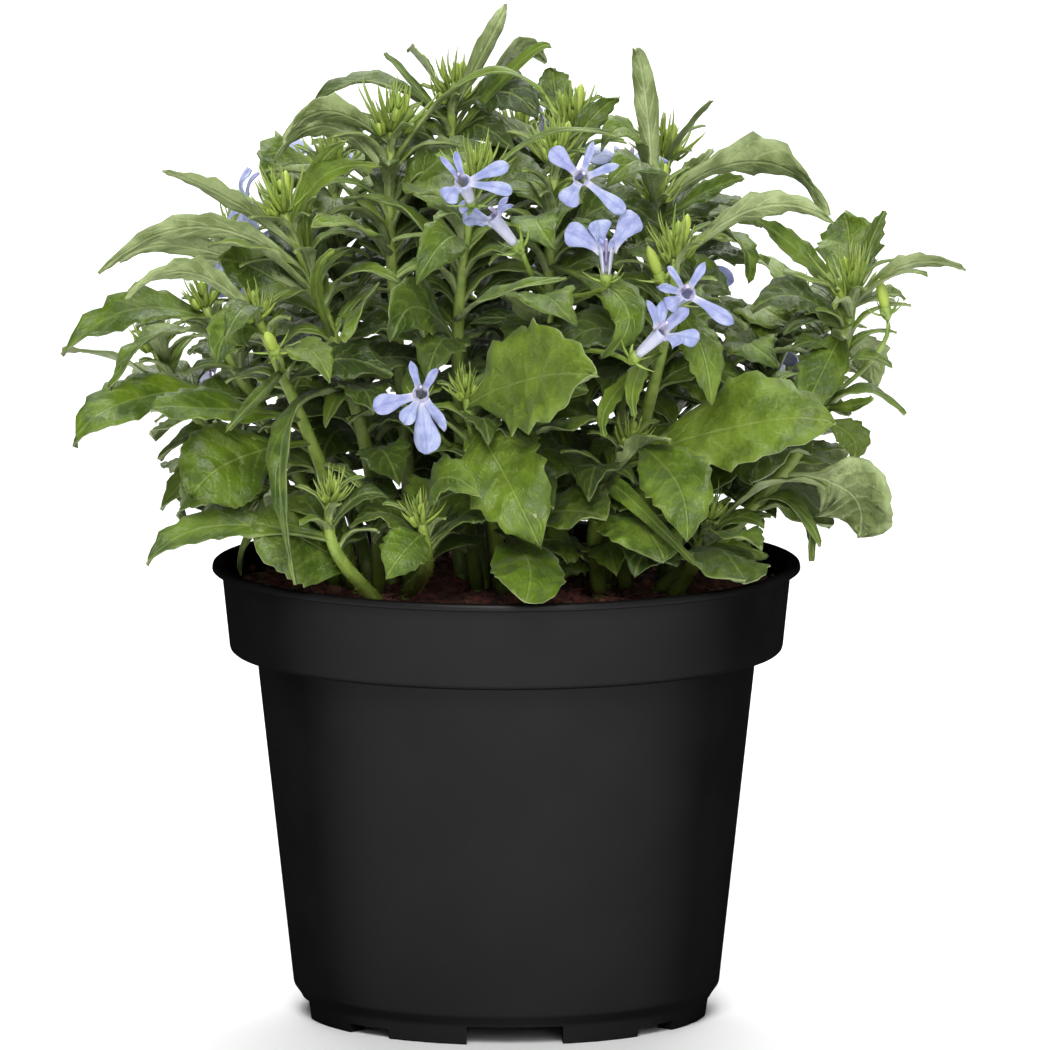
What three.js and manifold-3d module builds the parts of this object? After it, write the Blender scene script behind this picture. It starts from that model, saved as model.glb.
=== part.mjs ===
// A trailing lobelia in its nursery pot: a thin-walled plastic pot filled with peat, leafy stems that
// rise from the peat and lean out over the rim, and pale blue blooms on thin pedicels.
// Millimetres, +Z up. The origin is on the ground, on the pot's axis, and -Y is the plant's front.
import * as THREE from "three";
import { mergeVertices } from "three/addons/utils/BufferGeometryUtils.js";
import Module from "manifold-3d";

const wasm = await Module();
wasm.setup();

// ---------------------------------------------------------------- driving dimensions of the pot
const POT_HEIGHT = 92.8;
const LIP_RADIUS = 60;
const LIP_WIDTH = 2.4;
const LIP_THICKNESS = 1.5;
const BAND_TOP_RADIUS = 58;
const BAND_FOOT_RADIUS = 56.3;
const BAND_HEIGHT = 18;
const WALL_TOP_RADIUS = 51;
const WALL_FOOT_RADIUS = 43.5;
const WALL_THICKNESS = 1.4;
const LEDGE_FALL = 0.6;
const LEDGE_HEIGHT = 6.2;
const FOOT_TOP_RADIUS = 41.9;
const FOOT_RADIUS = 41.3;
const FOOT_RING_WIDTH = 4;
const FLOOR_CLEARANCE = 4.3;
const FLOOR_THICKNESS = 1.6;
const NOTCH_TURN = 2.5;
const WIDE_NOTCH = { width: 19.5, height: 3.8 };
const NARROW_NOTCH = { width: 10.7, height: 2 };
const DRAIN = { radius: 4, circle: 22, count: 4 };
const POT_SIDES = 32;

// ---------------------------------------------------------------- driving dimensions of the peat
const SOIL_DEPTH = 5.2;
const SOIL_GAP = 0.4;
const SOIL_SIDES = 18;
const SOIL_BUMP = 0.5;
const ROOT_DEPTH = 7;
const ROOT_HOLE_GAP = 0.5;
const SOIL_TOP = POT_HEIGHT - SOIL_DEPTH;

// ---------------------------------------------------------------- driving dimensions of the plant
const STEM_SIDES = 4;
const STEM_FOOT_RADIUS = 1.6;
const STEM_TIP_RADIUS = 0.95;
const STEM_STEPS = { least: 3, most: 6, bow: 6 };
const RIB_THICKNESS = 0.9;
const STALK_WIDTH = 1.2;
const NARROW_BLADE = 4;
const PEDICEL_RADIUS = 0.5;
const TUBE_LENGTH = 8;
const TUBE_RADII = [0.9, 1.8];
const TUBE_SIDES = 4;
const CALYX_GAP = 0.4;
const CALYX_LENGTH = 2.4;
const CALYX_RADIUS = 1.3;
const SEPALS = 5;
const SEPAL_LENGTH = 4.5;
const UPPER_LOBE = { length: 8, width: 2.4, spread: 24 };
const LOWER_LOBE = { length: 10.5, width: 5.8, spread: 54 };
const NEEDLE_LENGTH = 12;
const CORE = { length: 5, radius: 2.1, sides: 5 };
const BUD = { length: 6.5, radius: 1.6, least: 1 };

// Where a leaf's upper face looks at mid-leaf.
const UP = [0, -0.2, 1];
const FRONT = [0, -1, 0.25];
const SLANT = [0, -0.7, 0.7];
const LEFT = [-0.7, -0.5, 0.5];
const RIGHT = [0.7, -0.5, 0.5];
const BACK = [0, 0.6, 0.8];
const UNDER = [0, 0.85, 0.5];

// A leaf kind's outline: the share of the length that is stalk, how far its edges stand above the rib,
// and pairs of place along the leaf and half-width, as shares of length and of half the full width.
const KINDS = {
  round: {
    stalk: 0.2,
    fold: -0.12,
    outline: [[0.34, 0.7], [0.5, 0.96], [0.74, 0.9], [0.92, 0.5]],
  },
  broad: {
    stalk: 0.1,
    fold: 0.12,
    outline: [[0.3, 0.76], [0.46, 1], [0.66, 0.66], [0.71, 0.84]],
  },
  lance: {
    stalk: 0.06,
    fold: 0.3,
    outline: [[0.5, 1], [0.74, 0.5], [0.79, 0.7]],
  },
  linear: {
    stalk: 0.04,
    fold: 0.35,
    outline: [[0.4, 1], [0.72, 0.7]],
  },
};

// Each leafy stem: its root on the peat, two bends and its tip; the length of its head of needles as a
// share of the full one; its leaves, as [height on the stem, kind, width, mid-leaf, tip, upper face];
// its blooms, as [height on the stem, pedicel's bend, calyx, tube's direction, direction of the upper
// lobes]; its lone buds, as [height on the stem, pedicel's bend, bud]; and how many leaves fill it,
// from which height up.
const STEMS = [
  {
    root: [-26, -12],
    bends: [[-24, -22, 118], [-36, -26, 146]],
    tip: [-45, -26, 168],
    head: 1,
    leaves: [
      [164, "linear", 3.4, [-38, -30, 177], [-32, -34, 183], FRONT],
      [158, "lance", 5, [-38, -30, 174], [-25, -36, 178], SLANT],
      [152, "linear", 2.2, [-40, -30, 166], [-38, -36, 172], FRONT],
      [160, "lance", 4.5, [-56, -30, 171], [-69, -34, 177], UNDER],
      [154, "lance", 6, [-61, -28, 165], [-82, -32, 156], UNDER],
      [150, "lance", 5.5, [-63, -22, 160], [-78, -22, 157], UNDER],
      [142, "linear", 2.4, [-38, -42, 156], [-34, -48, 163], FRONT],
      [146, "broad", 12, [-50, -20, 155], [-58, -22, 157], FRONT],
      [130, "lance", 6.5, [-44, -44, 126], [-42, -54, 96], LEFT],
      [140, "broad", 11, [-29, -34, 150], [-33, -44, 144], FRONT],
    ],
    blooms: [[150, [-43, -12, 160], [-46, -9, 166], [-0.8, -0.3, 0.15], [0.15, 0, 1]]],
    buds: [],
    fill: [2, 105],
  },
  {
    root: [-31, -9],
    bends: [[-34, -26, 112], [-43, -31, 130]],
    tip: [-50, -38, 148],
    head: 0.6,
    leaves: [
      [147, "lance", 6, [-63, -46, 158], [-76, -50, 153], UNDER],
      [147, "broad", 7, [-52, -54, 152], [-56, -60, 146], SLANT],
      [136, "linear", 3, [-50, -50, 133], [-56, -56, 127], SLANT],
      [144, "broad", 9, [-55, -42, 146], [-58, -46, 139], FRONT],
      [138, "broad", 8.5, [-40, -50, 143], [-35, -56, 137], SLANT],
      [126, "broad", 10, [-61, -48, 131], [-71, -54, 131], SLANT],
      [121, "round", 18, [-54, -44, 120], [-63, -48, 113], FRONT],
    ],
    blooms: [],
    buds: [[136, [-44, -48, 140], [-46, -54, 143]]],
    fill: [1, 108],
  },
  {
    root: [-35, -3],
    bends: [[-38, -8, 112], [-54, -14, 128]],
    tip: [-61, -12, 147],
    head: 0.7,
    leaves: [
      [143, "lance", 10, [-75, -12, 146], [-90, -14, 137], SLANT],
      [141, "broad", 11, [-71, -24, 142], [-80, -28, 132], LEFT],
      [128, "broad", 12, [-75, -28, 130], [-87, -34, 121], SLANT],
      [106, "broad", 9, [-62, -2, 108], [-65, 4, 99], LEFT],
      [100, "linear", 3.2, [-50, -8, 101], [-54, -8, 91], LEFT],
    ],
    blooms: [],
    buds: [],
    fill: [2, 112],
  },
  {
    root: [-26, -33],
    bends: [[-29, -43, 96], [-38, -47, 101]],
    tip: [-35, -46, 112],
    head: 0.55,
    leaves: [
      [104, "lance", 8.5, [-59, -44, 106], [-72, -48, 99], SLANT],
      [93, "round", 20, [-38, -42, 102], [-51, -45, 107], [0, -0.8, 0.6]],
    ],
    blooms: [],
    buds: [],
    fill: [1, 99],
  },
  {
    root: [-20, -14],
    bends: [[-14, -44, 98], [-16, -46, 102]],
    tip: [-17, -48, 108],
    head: 0.55,
    leaves: [
      [104, "broad", 9, [-13, -52, 117], [-5, -58, 114], SLANT],
      [105, "broad", 10, [-20, -53, 103], [-24, -54, 97], FRONT],
    ],
    blooms: [],
    buds: [],
    fill: [1, 99],
  },
  {
    root: [-1, -15],
    bends: [[-2, -30, 108], [-6, -36, 120]],
    tip: [-8, -38, 132],
    head: 0.55,
    leaves: [
      [130, "broad", 22, [5, -57, 138], [18, -75, 141], FRONT],
      [127, "broad", 17, [0, -56, 118], [7, -66, 105], FRONT],
      [104, "broad", 13, [13, -42, 109], [20, -52, 109], SLANT],
      [103, "round", 15, [4, -52, 101], [4, -68, 95], SLANT],
    ],
    blooms: [],
    buds: [],
    fill: [1, 112],
  },
  {
    root: [-6, -8],
    bends: [[-10, -16, 120], [-12, -34, 148]],
    tip: [-6, -26, 174],
    head: 1,
    leaves: [
      [160, "broad", 9.5, [-12, -48, 165], [-18, -58, 157], FRONT],
      [170, "linear", 2.4, [6, -30, 183], [22, -34, 184], UP],
      [146, "linear", 5, [-2, -58, 155], [12, -70, 160], SLANT],
      [140, "broad", 12, [-18, -38, 150], [-23, -46, 144], FRONT],
    ],
    blooms: [
      [118, [-13, -40, 122], [-17, -52, 132], [0, -0.9, 0.42], [0, 0.3, 1]],
      [168, [-9, -48, 172], [-7, -60, 174], [-0.2, -0.75, 0.6], [-0.6, 0.1, 0.8]],
    ],
    buds: [],
    fill: [2, 110],
  },
  {
    root: [-20, -4],
    bends: [[-18, -6, 120], [-26, -12, 156]],
    tip: [-23, -6, 182],
    head: 1.1,
    leaves: [
      [174, "linear", 3.6, [-7, -12, 193], [8, -16, 190], UP],
      [179, "lance", 6.5, [-36, -16, 187], [-45, -22, 181], UNDER],
      [172, "lance", 6, [-36, -8, 183], [-47, -12, 176], UNDER],
      [157, "broad", 9, [-31, -28, 165], [-39, -36, 166], SLANT],
    ],
    blooms: [],
    buds: [],
    fill: [2, 112],
  },
  {
    root: [-23, 3],
    bends: [[-26, 12, 118], [-34, 20, 150]],
    tip: [-36, 24, 170],
    head: 1,
    leaves: [],
    blooms: [
      [146, [-44, 14, 150], [-49, 6, 153], [-0.3, -0.85, 0.1], [0.1, 0.1, 1]],
      [140, [-44, 24, 144], [-50, 24, 146], [-0.6, 0, 0.7], [0.4, 0.1, 0.9]],
      [158, [-40, 32, 160], [-39, 35, 164], [0.2, 0.2, 0.95], [0.7, 0, 0.6]],
    ],
    buds: [],
    fill: [4, 116],
  },
  {
    root: [-5, 1],
    bends: [[-8, 8, 120], [-12, 10, 160]],
    tip: [-11, 8, 187],
    head: 0.9,
    leaves: [
      [184, "linear", 4, [-3, 4, 200], [0, 6, 206], UNDER],
      [180, "broad", 8, [1, 20, 194], [8, 24, 192], BACK],
      [178, "linear", 2.8, [3, 0, 195], [9, 0, 198], SLANT],
      [181, "lance", 7, [-27, 8, 190], [-40, 5, 185], UP],
      [180, "linear", 2.5, [-21, 14, 191], [-25, 16, 195], UP],
      [184, "lance", 5, [-17, 16, 193], [-20, 20, 195], BACK],
    ],
    blooms: [],
    buds: [],
    fill: [3, 120],
  },
  {
    root: [4, 1],
    bends: [[6, 4, 120], [14, 6, 158]],
    tip: [13, 3, 182],
    head: 0.9,
    leaves: [[176, "broad", 7, [10, 12, 188], [10, 14, 192], FRONT]],
    blooms: [[166, [11, 14, 166], [4, 24, 174], [0.6, 0.1, 0.75], [-0.7, 0.1, 0.6]]],
    buds: [],
    fill: [3, 118],
  },
  {
    root: [5, -10],
    bends: [[8, -14, 118], [8, -26, 156]],
    tip: [10, -19, 178],
    head: 0.9,
    leaves: [
      [156, "broad", 7.5, [24, -59, 153], [19, -63, 143], FRONT],
      [174, "lance", 5.5, [17, -16, 185], [23, -18, 190], FRONT],
      [164, "broad", 10, [6, -40, 168], [10, -50, 163], FRONT],
      [140, "broad", 13, [7, -44, 153], [14, -54, 148], SLANT],
    ],
    blooms: [
      [150, [6, -44, 154], [2, -50, 164], [-0.6, -0.25, 0.75], [0.8, -0.1, 0.5]],
      [170, [12, -34, 177], [15, -46, 176], [0, -0.95, 0.25], [0.65, 0, 0.75]],
      [150, [17, -42, 152], [20, -52, 158], [0, -0.2, 0.97], [0, -1, 0.1]],
      [138, [20, -50, 144], [26, -60, 143], [0.65, -0.3, 0.65], [-0.6, -0.2, 0.75]],
    ],
    buds: [],
    fill: [1, 112],
  },
  {
    root: [19, -15],
    bends: [[15, -30, 108], [22, -34, 114]],
    tip: [25, -35, 122],
    head: 0.55,
    leaves: [
      [122, "broad", 14, [34, -54, 117], [36, -64, 106], FRONT],
      [117, "broad", 20, [48, -44, 127], [66, -50, 128], SLANT],
      [113, "linear", 4, [25, -44, 112], [39, -54, 99], LEFT],
      [94, "broad", 14, [10, -27, 101], [2, -34, 98], SLANT],
    ],
    blooms: [],
    buds: [],
    fill: [2, 98],
  },
  {
    root: [20, -1],
    bends: [[20, -6, 118], [30, -10, 148]],
    tip: [30, -10, 168],
    head: 0.9,
    leaves: [
      [167, "lance", 10, [51, -8, 176], [65, -12, 165], UNDER],
      [163, "lance", 5, [41, -18, 171], [48, -22, 174], SLANT],
      [168, "linear", 5, [28, -2, 190], [26, -4, 198], UNDER],
      [166, "broad", 9.5, [27, -38, 179], [20, -46, 175], SLANT],
      [168, "broad", 8, [25, -26, 184], [19, -34, 181], SLANT],
    ],
    blooms: [[156, [25, 0, 158], [25, 7, 167], [0.05, 0.15, 1], [0.2, 1, 0]]],
    buds: [],
    fill: [2, 118],
  },
  {
    root: [24, -8],
    bends: [[22, -20, 114], [34, -34, 140]],
    tip: [34, -35, 160],
    head: 0.9,
    leaves: [
      [140, "lance", 3.5, [21, -44, 132], [20, -50, 125], FRONT],
      [144, "lance", 4, [26, -50, 137], [26, -56, 130], FRONT],
      [150, "broad", 8, [39, -54, 144], [41, -60, 133], FRONT],
      [158, "lance", 6, [51, -28, 169], [66, -32, 166], UNDER],
    ],
    blooms: [[150, [34, -46, 148], [34, -55, 153], [0.25, -0.8, 0.35], [-0.6, 0, 0.75]]],
    buds: [[148, [34, -42, 150], [31, -43, 156]]],
    fill: [2, 112],
  },
  {
    root: [23, 7],
    bends: [[24, 16, 118], [32, 24, 150]],
    tip: [32, 20, 173],
    head: 1,
    leaves: [
      [168, "lance", 3.5, [38, 12, 172], [42, 12, 176], BACK],
      [172, "linear", 2.2, [38, 6, 182], [42, 2, 187], UP],
      [160, "lance", 7, [46, -6, 160], [49, -8, 151], RIGHT],
    ],
    blooms: [],
    buds: [],
    fill: [3, 118],
  },
  {
    root: [31, -11],
    bends: [[46, -22, 101], [70, -14, 122]],
    tip: [70, -8, 149],
    head: 1.1,
    leaves: [
      [95, "broad", 9, [42, -24, 100], [53, -24, 97], UP],
      [104, "lance", 6.5, [58, -18, 106], [62, -22, 96], RIGHT],
      [113, "round", 20, [69, -15, 110], [72, -13, 99.5], UNDER],
      [126, "linear", 2.6, [71, -22, 128], [74, -26, 130], FRONT],
      [124, "broad", 7, [70, -12, 120], [70, -12, 115], FRONT],
      [143, "broad", 9.5, [64, -22, 135], [59, -32, 125], FRONT],
      [140, "broad", 9, [73, -2, 136], [75, 0, 128], UNDER],
      [146, "lance", 4, [81, -10, 155], [93, -12, 154], UNDER],
      [147, "linear", 2.6, [79, -18, 154], [85, -22, 154], UP],
      [146, "lance", 4.5, [77, -4, 148], [81, -4, 147], UP],
      [148, "linear", 3.2, [62, -14, 152], [56, -16, 154], UP],
      [144, "linear", 2.6, [68, -20, 149], [66, -26, 148], UP],
      [148, "lance", 4, [74, -4, 159], [77, -2, 165], FRONT],
      [146, "broad", 13, [70, 8, 156], [69, 12, 163], FRONT],
      [146, "lance", 6, [59, -4, 157], [50, -8, 164], SLANT],
    ],
    blooms: [],
    buds: [[128, [79, -12, 138], [77, -12, 145]]],
    fill: [0, 110],
  },
  {
    root: [34, -17],
    bends: [[38, -26, 96], [40, -28, 100]],
    tip: [41, -28, 106],
    head: 0.55,
    leaves: [],
    blooms: [],
    buds: [],
    fill: [3, 96],
  },
  {
    root: [33, 1],
    bends: [[36, 6, 110], [56, 16, 124]],
    tip: [59, 18, 142],
    head: 0.7,
    leaves: [
      [138, "broad", 12, [52, 4, 144], [60, -4, 141], SLANT],
      [130, "broad", 11, [49, -20, 140], [55, -30, 137], SLANT],
    ],
    blooms: [[120, [49, 20, 122], [50, 25, 126], [0, 0.5, 0.8], [-0.5, 0.3, 0.8]]],
    buds: [],
    fill: [3, 104],
  },
  {
    root: [-28, 7],
    bends: [[-34, 30, 115], [-52, 38, 135]],
    tip: [-56, 40, 152],
    head: 1,
    leaves: [],
    blooms: [[128, [-50, 48, 132], [-50, 52, 138], [-0.2, 0.8, 0.5], [0.5, 0, 0.8]]],
    buds: [],
    fill: [6, 104],
  },
  {
    root: [-9, 9],
    bends: [[-14, 30, 120], [-22, 42, 145]],
    tip: [-24, 45, 163],
    head: 1,
    leaves: [],
    blooms: [[142, [-18, 50, 146], [-17, 54, 150], [0, 0.85, 0.5], [0, -0.3, 0.9]]],
    buds: [],
    fill: [6, 106],
  },
  {
    root: [3, 9],
    bends: [[4, 26, 122], [4, 40, 152]],
    tip: [2, 40, 174],
    head: 1,
    leaves: [],
    blooms: [[148, [8, 48, 150], [9, 54, 154], [0.1, 0.8, 0.6], [-0.2, -0.5, 0.8]]],
    buds: [],
    fill: [6, 110],
  },
  {
    root: [25, 14],
    bends: [[22, 36, 116], [30, 50, 138]],
    tip: [32, 52, 154],
    head: 1,
    leaves: [],
    blooms: [[132, [36, 56, 136], [36, 61, 141], [0.2, 0.8, 0.5], [-0.3, -0.3, 0.9]]],
    buds: [],
    fill: [6, 104],
  },
  {
    root: [-3, 16],
    bends: [[-2, 42, 108], [-4, 52, 118]],
    tip: [-6, 55, 134],
    head: 0.8,
    leaves: [],
    blooms: [[128, [2, 56, 132], [6, 58, 137], [0.3, 0.3, 0.9], [0, -0.9, 0.3]]],
    buds: [],
    fill: [6, 98],
  },
  {
    root: [32, 9],
    bends: [[42, 24, 112], [62, 38, 124]],
    tip: [66, 40, 140],
    head: 0.9,
    leaves: [],
    blooms: [[118, [54, 46, 118], [54, 50, 122], [0.3, 0.8, 0.4], [-0.4, -0.4, 0.8]]],
    buds: [],
    fill: [6, 102],
  },
  {
    root: [-34, 5],
    bends: [[-46, 12, 108], [-68, 20, 118]],
    tip: [-72, 22, 134],
    head: 0.8,
    leaves: [],
    blooms: [[112, [-60, 30, 116], [-60, 34, 122], [-0.2, 0.8, 0.5], [0.4, -0.3, 0.8]]],
    buds: [],
    fill: [6, 98],
  },
];

// ---------------------------------------------------------------- small vector helpers
const plus = (a, b) => [a[0] + b[0], a[1] + b[1], a[2] + b[2]];
const minus = (a, b) => [a[0] - b[0], a[1] - b[1], a[2] - b[2]];
const times = (a, k) => [a[0] * k, a[1] * k, a[2] * k];
const dot = (a, b) => a[0] * b[0] + a[1] * b[1] + a[2] * b[2];
const cross = (a, b) => [
  a[1] * b[2] - a[2] * b[1],
  a[2] * b[0] - a[0] * b[2],
  a[0] * b[1] - a[1] * b[0],
];
const size = (a) => Math.sqrt(dot(a, a));
const unit = (a) => times(a, 1 / size(a));
const blend = (a, b, t) => plus(times(a, 1 - t), times(b, t));

// A steady stream of numbers between 0 and 1 from a seed.
function draws(seed) {
  let state = seed;
  return () => {
    state = (Math.imul(state, 1664525) + 1013904223) >>> 0;
    return state / 4294967296;
  };
}

// ---------------------------------------------------------------- how the plant is laid out
// A point of a stem at share t of its length, from its root to its tip.
function stemPoint(stem, t) {
  const root = [stem.root[0], stem.root[1], SOIL_TOP + 1];
  const u = 1 - t;
  return plus(
    plus(times(root, u * u * u), times(stem.bends[0], 3 * u * u * t)),
    plus(times(stem.bends[1], 3 * u * t * t), times(stem.tip, t * t * t)),
  );
}

// The share of the stem's length at which it reaches a height.
function shareAtHeight(stem, height) {
  let low = 0;
  let high = 1;
  for (let step = 0; step < 24; step += 1) {
    const middle = (low + high) / 2;
    if (stemPoint(stem, middle)[2] < height) {
      low = middle;
    } else {
      high = middle;
    }
  }
  return low;
}

// A stem that bows more is made of more straight steps.
function stepsOf(stem) {
  const root = stemPoint(stem, 0);
  const lower = size(minus(stem.bends[0], blend(root, stem.tip, 1 / 3)));
  const upper = size(minus(stem.bends[1], blend(root, stem.tip, 2 / 3)));
  const steps = Math.round(1 + (lower + upper) / STEM_STEPS.bow);
  return Math.min(STEM_STEPS.most, Math.max(STEM_STEPS.least, steps));
}

// The middle of the stem's straight steps at share t, where a leaf or a pedicel is rooted.
function rootPoint(stem, t) {
  const steps = stepsOf(stem);
  const step = Math.min(steps - 1, Math.floor(t * steps));
  const from = stemPoint(stem, step / steps);
  return blend(from, stemPoint(stem, (step + 1) / steps), t * steps - step);
}

const stemRadius = (t) => STEM_FOOT_RADIUS + (STEM_TIP_RADIUS - STEM_FOOT_RADIUS) * t;

// A leaf's frame at share s: the midrib's point, and the directions across the leaf and out of its
// upper face.
function leafFrame(leaf, s) {
  const u = 1 - s;
  const point = plus(
    times(leaf.base, u * u),
    plus(times(leaf.bend, 2 * u * s), times(leaf.tip, s * s)),
  );
  const along = unit(plus(times(minus(leaf.bend, leaf.base), u), times(minus(leaf.tip, leaf.bend), s)));
  const across = unit(minus(leaf.side, times(along, dot(leaf.side, along))));
  return { point, across, out: cross(across, along) };
}

// A leaf from its place on the stem through its mid-point to its tip.
function makeLeaf(kind, width, base, middle, tip, face) {
  const chord = minus(tip, base);
  const side = unit(cross(chord, face));
  const bend = minus(times(middle, 2), times(plus(base, tip), 0.5));
  return { kind, width, base, bend, tip, side };
}

// Half the leaf's width at share s, without its teeth.
function leafHalfWidth(leaf, s) {
  const kind = KINDS[leaf.kind];
  let from = [kind.stalk, STALK_WIDTH / leaf.width];
  for (const station of [...kind.outline, [1, 0]]) {
    if (s <= station[0]) {
      const t = Math.max(0, (s - from[0]) / (station[0] - from[0]));
      return (from[1] + (station[1] - from[1]) * t) * leaf.width / 2;
    }
    from = station;
  }
  return 0;
}

// Marks are balls that stand for what takes up room, kept in cells so that near ones are found fast.
const CELL = 8;
const LEAF_STEP = 2.4;
const LEAF_MARK = 1.55;
const SAME_STEM_REACH = 2;
const cells = new Map();
const cellOf = (p) => p.map((v) => Math.floor(v / CELL));

function keepMarks(marks) {
  for (const mark of marks) {
    const key = cellOf(mark.at).join(" ");
    cells.set(key, [...(cells.get(key) ?? []), mark]);
  }
}

// Whether a mark is free of the pot, the peat and every mark of another piece. Within one stem only
// the outer parts of leaves are kept apart.
function isFree(mark) {
  const [x, y, z] = mark.at;
  const radius = Math.sqrt(x * x + y * y);
  const inPeat = radius < BAND_TOP_RADIUS && z < SOIL_TOP + 1.2;
  const nearRim = radius > LIP_RADIUS - LIP_WIDTH - 2.4 && radius < LIP_RADIUS + 1.4;
  const onRim = nearRim && z < POT_HEIGHT + 1.3;
  const inPot = radius < LIP_RADIUS + 1.4 && z < SOIL_TOP;
  if (inPeat || onRim || inPot) {
    return false;
  }
  const [cx, cy, cz] = cellOf(mark.at);
  for (let ix = cx - 1; ix <= cx + 1; ix += 1) {
    for (let iy = cy - 1; iy <= cy + 1; iy += 1) {
      for (let iz = cz - 1; iz <= cz + 1; iz += 1) {
        for (const other of cells.get(`${ix} ${iy} ${iz}`) ?? []) {
          const same = other.owner === mark.owner;
          const counts = !same || (mark.loose && other.loose);
          const reach = same ? SAME_STEM_REACH : mark.size + other.size;
          if (counts && size(minus(other.at, mark.at)) < reach) {
            return false;
          }
        }
      }
    }
  }
  return true;
}

function leafMarks(leaf, owner, strict) {
  const marks = [];
  const length = size(minus(leaf.bend, leaf.base)) + size(minus(leaf.tip, leaf.bend));
  const steps = Math.ceil(length / LEAF_STEP);
  for (let i = 1; i <= steps; i += 1) {
    const s = i / steps;
    const { point, across } = leafFrame(leaf, s);
    const half = leafHalfWidth(leaf, s);
    const spread = Math.ceil(half / LEAF_STEP);
    for (let j = -spread; j <= spread; j += 1) {
      const at = plus(point, times(across, spread ? (half * j) / spread : 0));
      marks.push({ at, size: LEAF_MARK, owner, loose: strict && s > 0.45 });
    }
  }
  return marks;
}

// A thin round stalk's marks, from one point through a bend to another.
function stalkMarks(from, bend, to, owner) {
  const marks = [];
  for (let i = 1; i <= 8; i += 1) {
    const s = i / 8;
    const at = blend(blend(from, bend, s), blend(bend, to, s), s);
    marks.push({ at, size: 1, owner, loose: false });
  }
  return marks;
}

// A bloom's frame: its calyx, the middle of its mouth, and the directions along its tube, towards its
// upper lobes, and across.
function bloomFrame(row) {
  const [, , calyx, direction, upper] = row;
  const along = unit(direction);
  const up = unit(minus(upper, times(along, dot(upper, along))));
  const mouth = plus(calyx, times(along, CALYX_GAP + TUBE_LENGTH));
  return { calyx, along, up, across: cross(along, up), mouth };
}

// The lobes of a bloom as leaves: two narrow ones above and three broad ones below.
function bloomLobes(frame) {
  const lobes = [];
  for (const turn of [-1, 1]) {
    lobes.push([UPPER_LOBE, turn * UPPER_LOBE.spread, 0.2]);
  }
  for (const turn of [-1, 0, 1]) {
    lobes.push([LOWER_LOBE, 180 + turn * LOWER_LOBE.spread, 0.32]);
  }
  return lobes.map(([lobe, degrees, lean]) => {
    const angle = (degrees * Math.PI) / 180;
    const out = plus(times(frame.up, Math.cos(angle)), times(frame.across, Math.sin(angle)));
    const base = minus(frame.mouth, times(frame.along, 1.6));
    const bend = plus(frame.mouth, plus(times(out, lobe.length * 0.45), times(frame.along, 2.2)));
    const tip = plus(frame.mouth, plus(times(out, lobe.length), times(frame.along, -lean * 4)));
    const side = cross(out, frame.along);
    return { isPetal: true, width: lobe.width, root: base, base, bend, tip, side };
  });
}

function bloomMarks(frame, owner) {
  const marks = [];
  for (let i = 0; i <= 3; i += 1) {
    const at = blend(frame.calyx, frame.mouth, i / 3);
    marks.push({ at, size: 2, owner, loose: false });
  }
  for (const lobe of bloomLobes(frame)) {
    for (const s of [0.5, 0.75, 1]) {
      marks.push({ at: leafFrame(lobe, s).point, size: lobe.width / 2 - 0.2, owner, loose: false });
    }
  }
  return marks;
}

// A named leaf may shift to or from the front by a few millimetres to come clear of its neighbours.
const SHIFTS = [0, -3, 3, -6, 6, -9, 9, -12, 12];
const FRONT_VIEW_SLOPE = 0.146;

function placeNamedLeaf(stem, owner, row) {
  const [height, kind, width, middle, tip, face] = row;
  const share = shareAtHeight(stem, height);
  const base = stemPoint(stem, share);
  for (const shift of SHIFTS) {
    const half = [0, shift / 2, (-shift * FRONT_VIEW_SLOPE) / 2];
    const leaf = makeLeaf(kind, width, base, plus(middle, half), plus(tip, times(half, 2)), face);
    const marks = leafMarks(leaf, owner, true);
    if (marks.every((mark) => isFree({ ...mark, loose: false }))) {
      keepMarks(marks);
      return { ...leaf, root: rootPoint(stem, share) };
    }
  }
  return null;
}

// Filling leaves turn by the golden angle up the stem, broad and nodding below, narrow and raised
// above. A leaf that has no room turns aside, and is left out if no turn gives it room.
const GOLDEN_ANGLE = 137.5;
const TURNS = [0, 24, -24, 48, -48, 75, -75, 105];

function placeFillingLeaf(stem, owner, index, draw) {
  const [count, lowest] = stem.fill;
  const rise = (index + 0.5) / count;
  const height = lowest + (stem.tip[2] - 4 - lowest) * rise;
  const share = shareAtHeight(stem, height);
  const base = stemPoint(stem, share);
  const outward = (Math.atan2(stem.tip[1], stem.tip[0]) * 180) / Math.PI;
  const aside = ((((index * GOLDEN_ANGLE) % 360) + 360) % 360) - 180;
  const kind = rise < 0.35 ? "round" : rise < 0.75 ? "broad" : "lance";
  const length = 27 - 7 * rise + 5 * draw();
  const widthShare = { round: 0.6, broad: 0.42, lance: 0.26 }[kind];
  const lift = -0.3 + 0.75 * rise + 0.3 * draw();
  const arch = 0.12 + 0.12 * draw();
  for (const turn of TURNS) {
    const angle = ((outward + aside * 0.62 + turn) * Math.PI) / 180;
    const out = [Math.cos(angle), Math.sin(angle), 0];
    const tip = plus(base, plus(times(out, length), [0, 0, lift * length]));
    const middle = plus(blend(base, tip, 0.5), [0, 0, arch * length]);
    const face = plus([0, 0, 1], times(out, 0.35));
    const leaf = makeLeaf(kind, length * widthShare, base, middle, tip, face);
    const marks = leafMarks(leaf, owner, true);
    if (marks.every(isFree)) {
      keepMarks(marks);
      return { ...leaf, root: rootPoint(stem, share) };
    }
  }
  return null;
}

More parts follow.
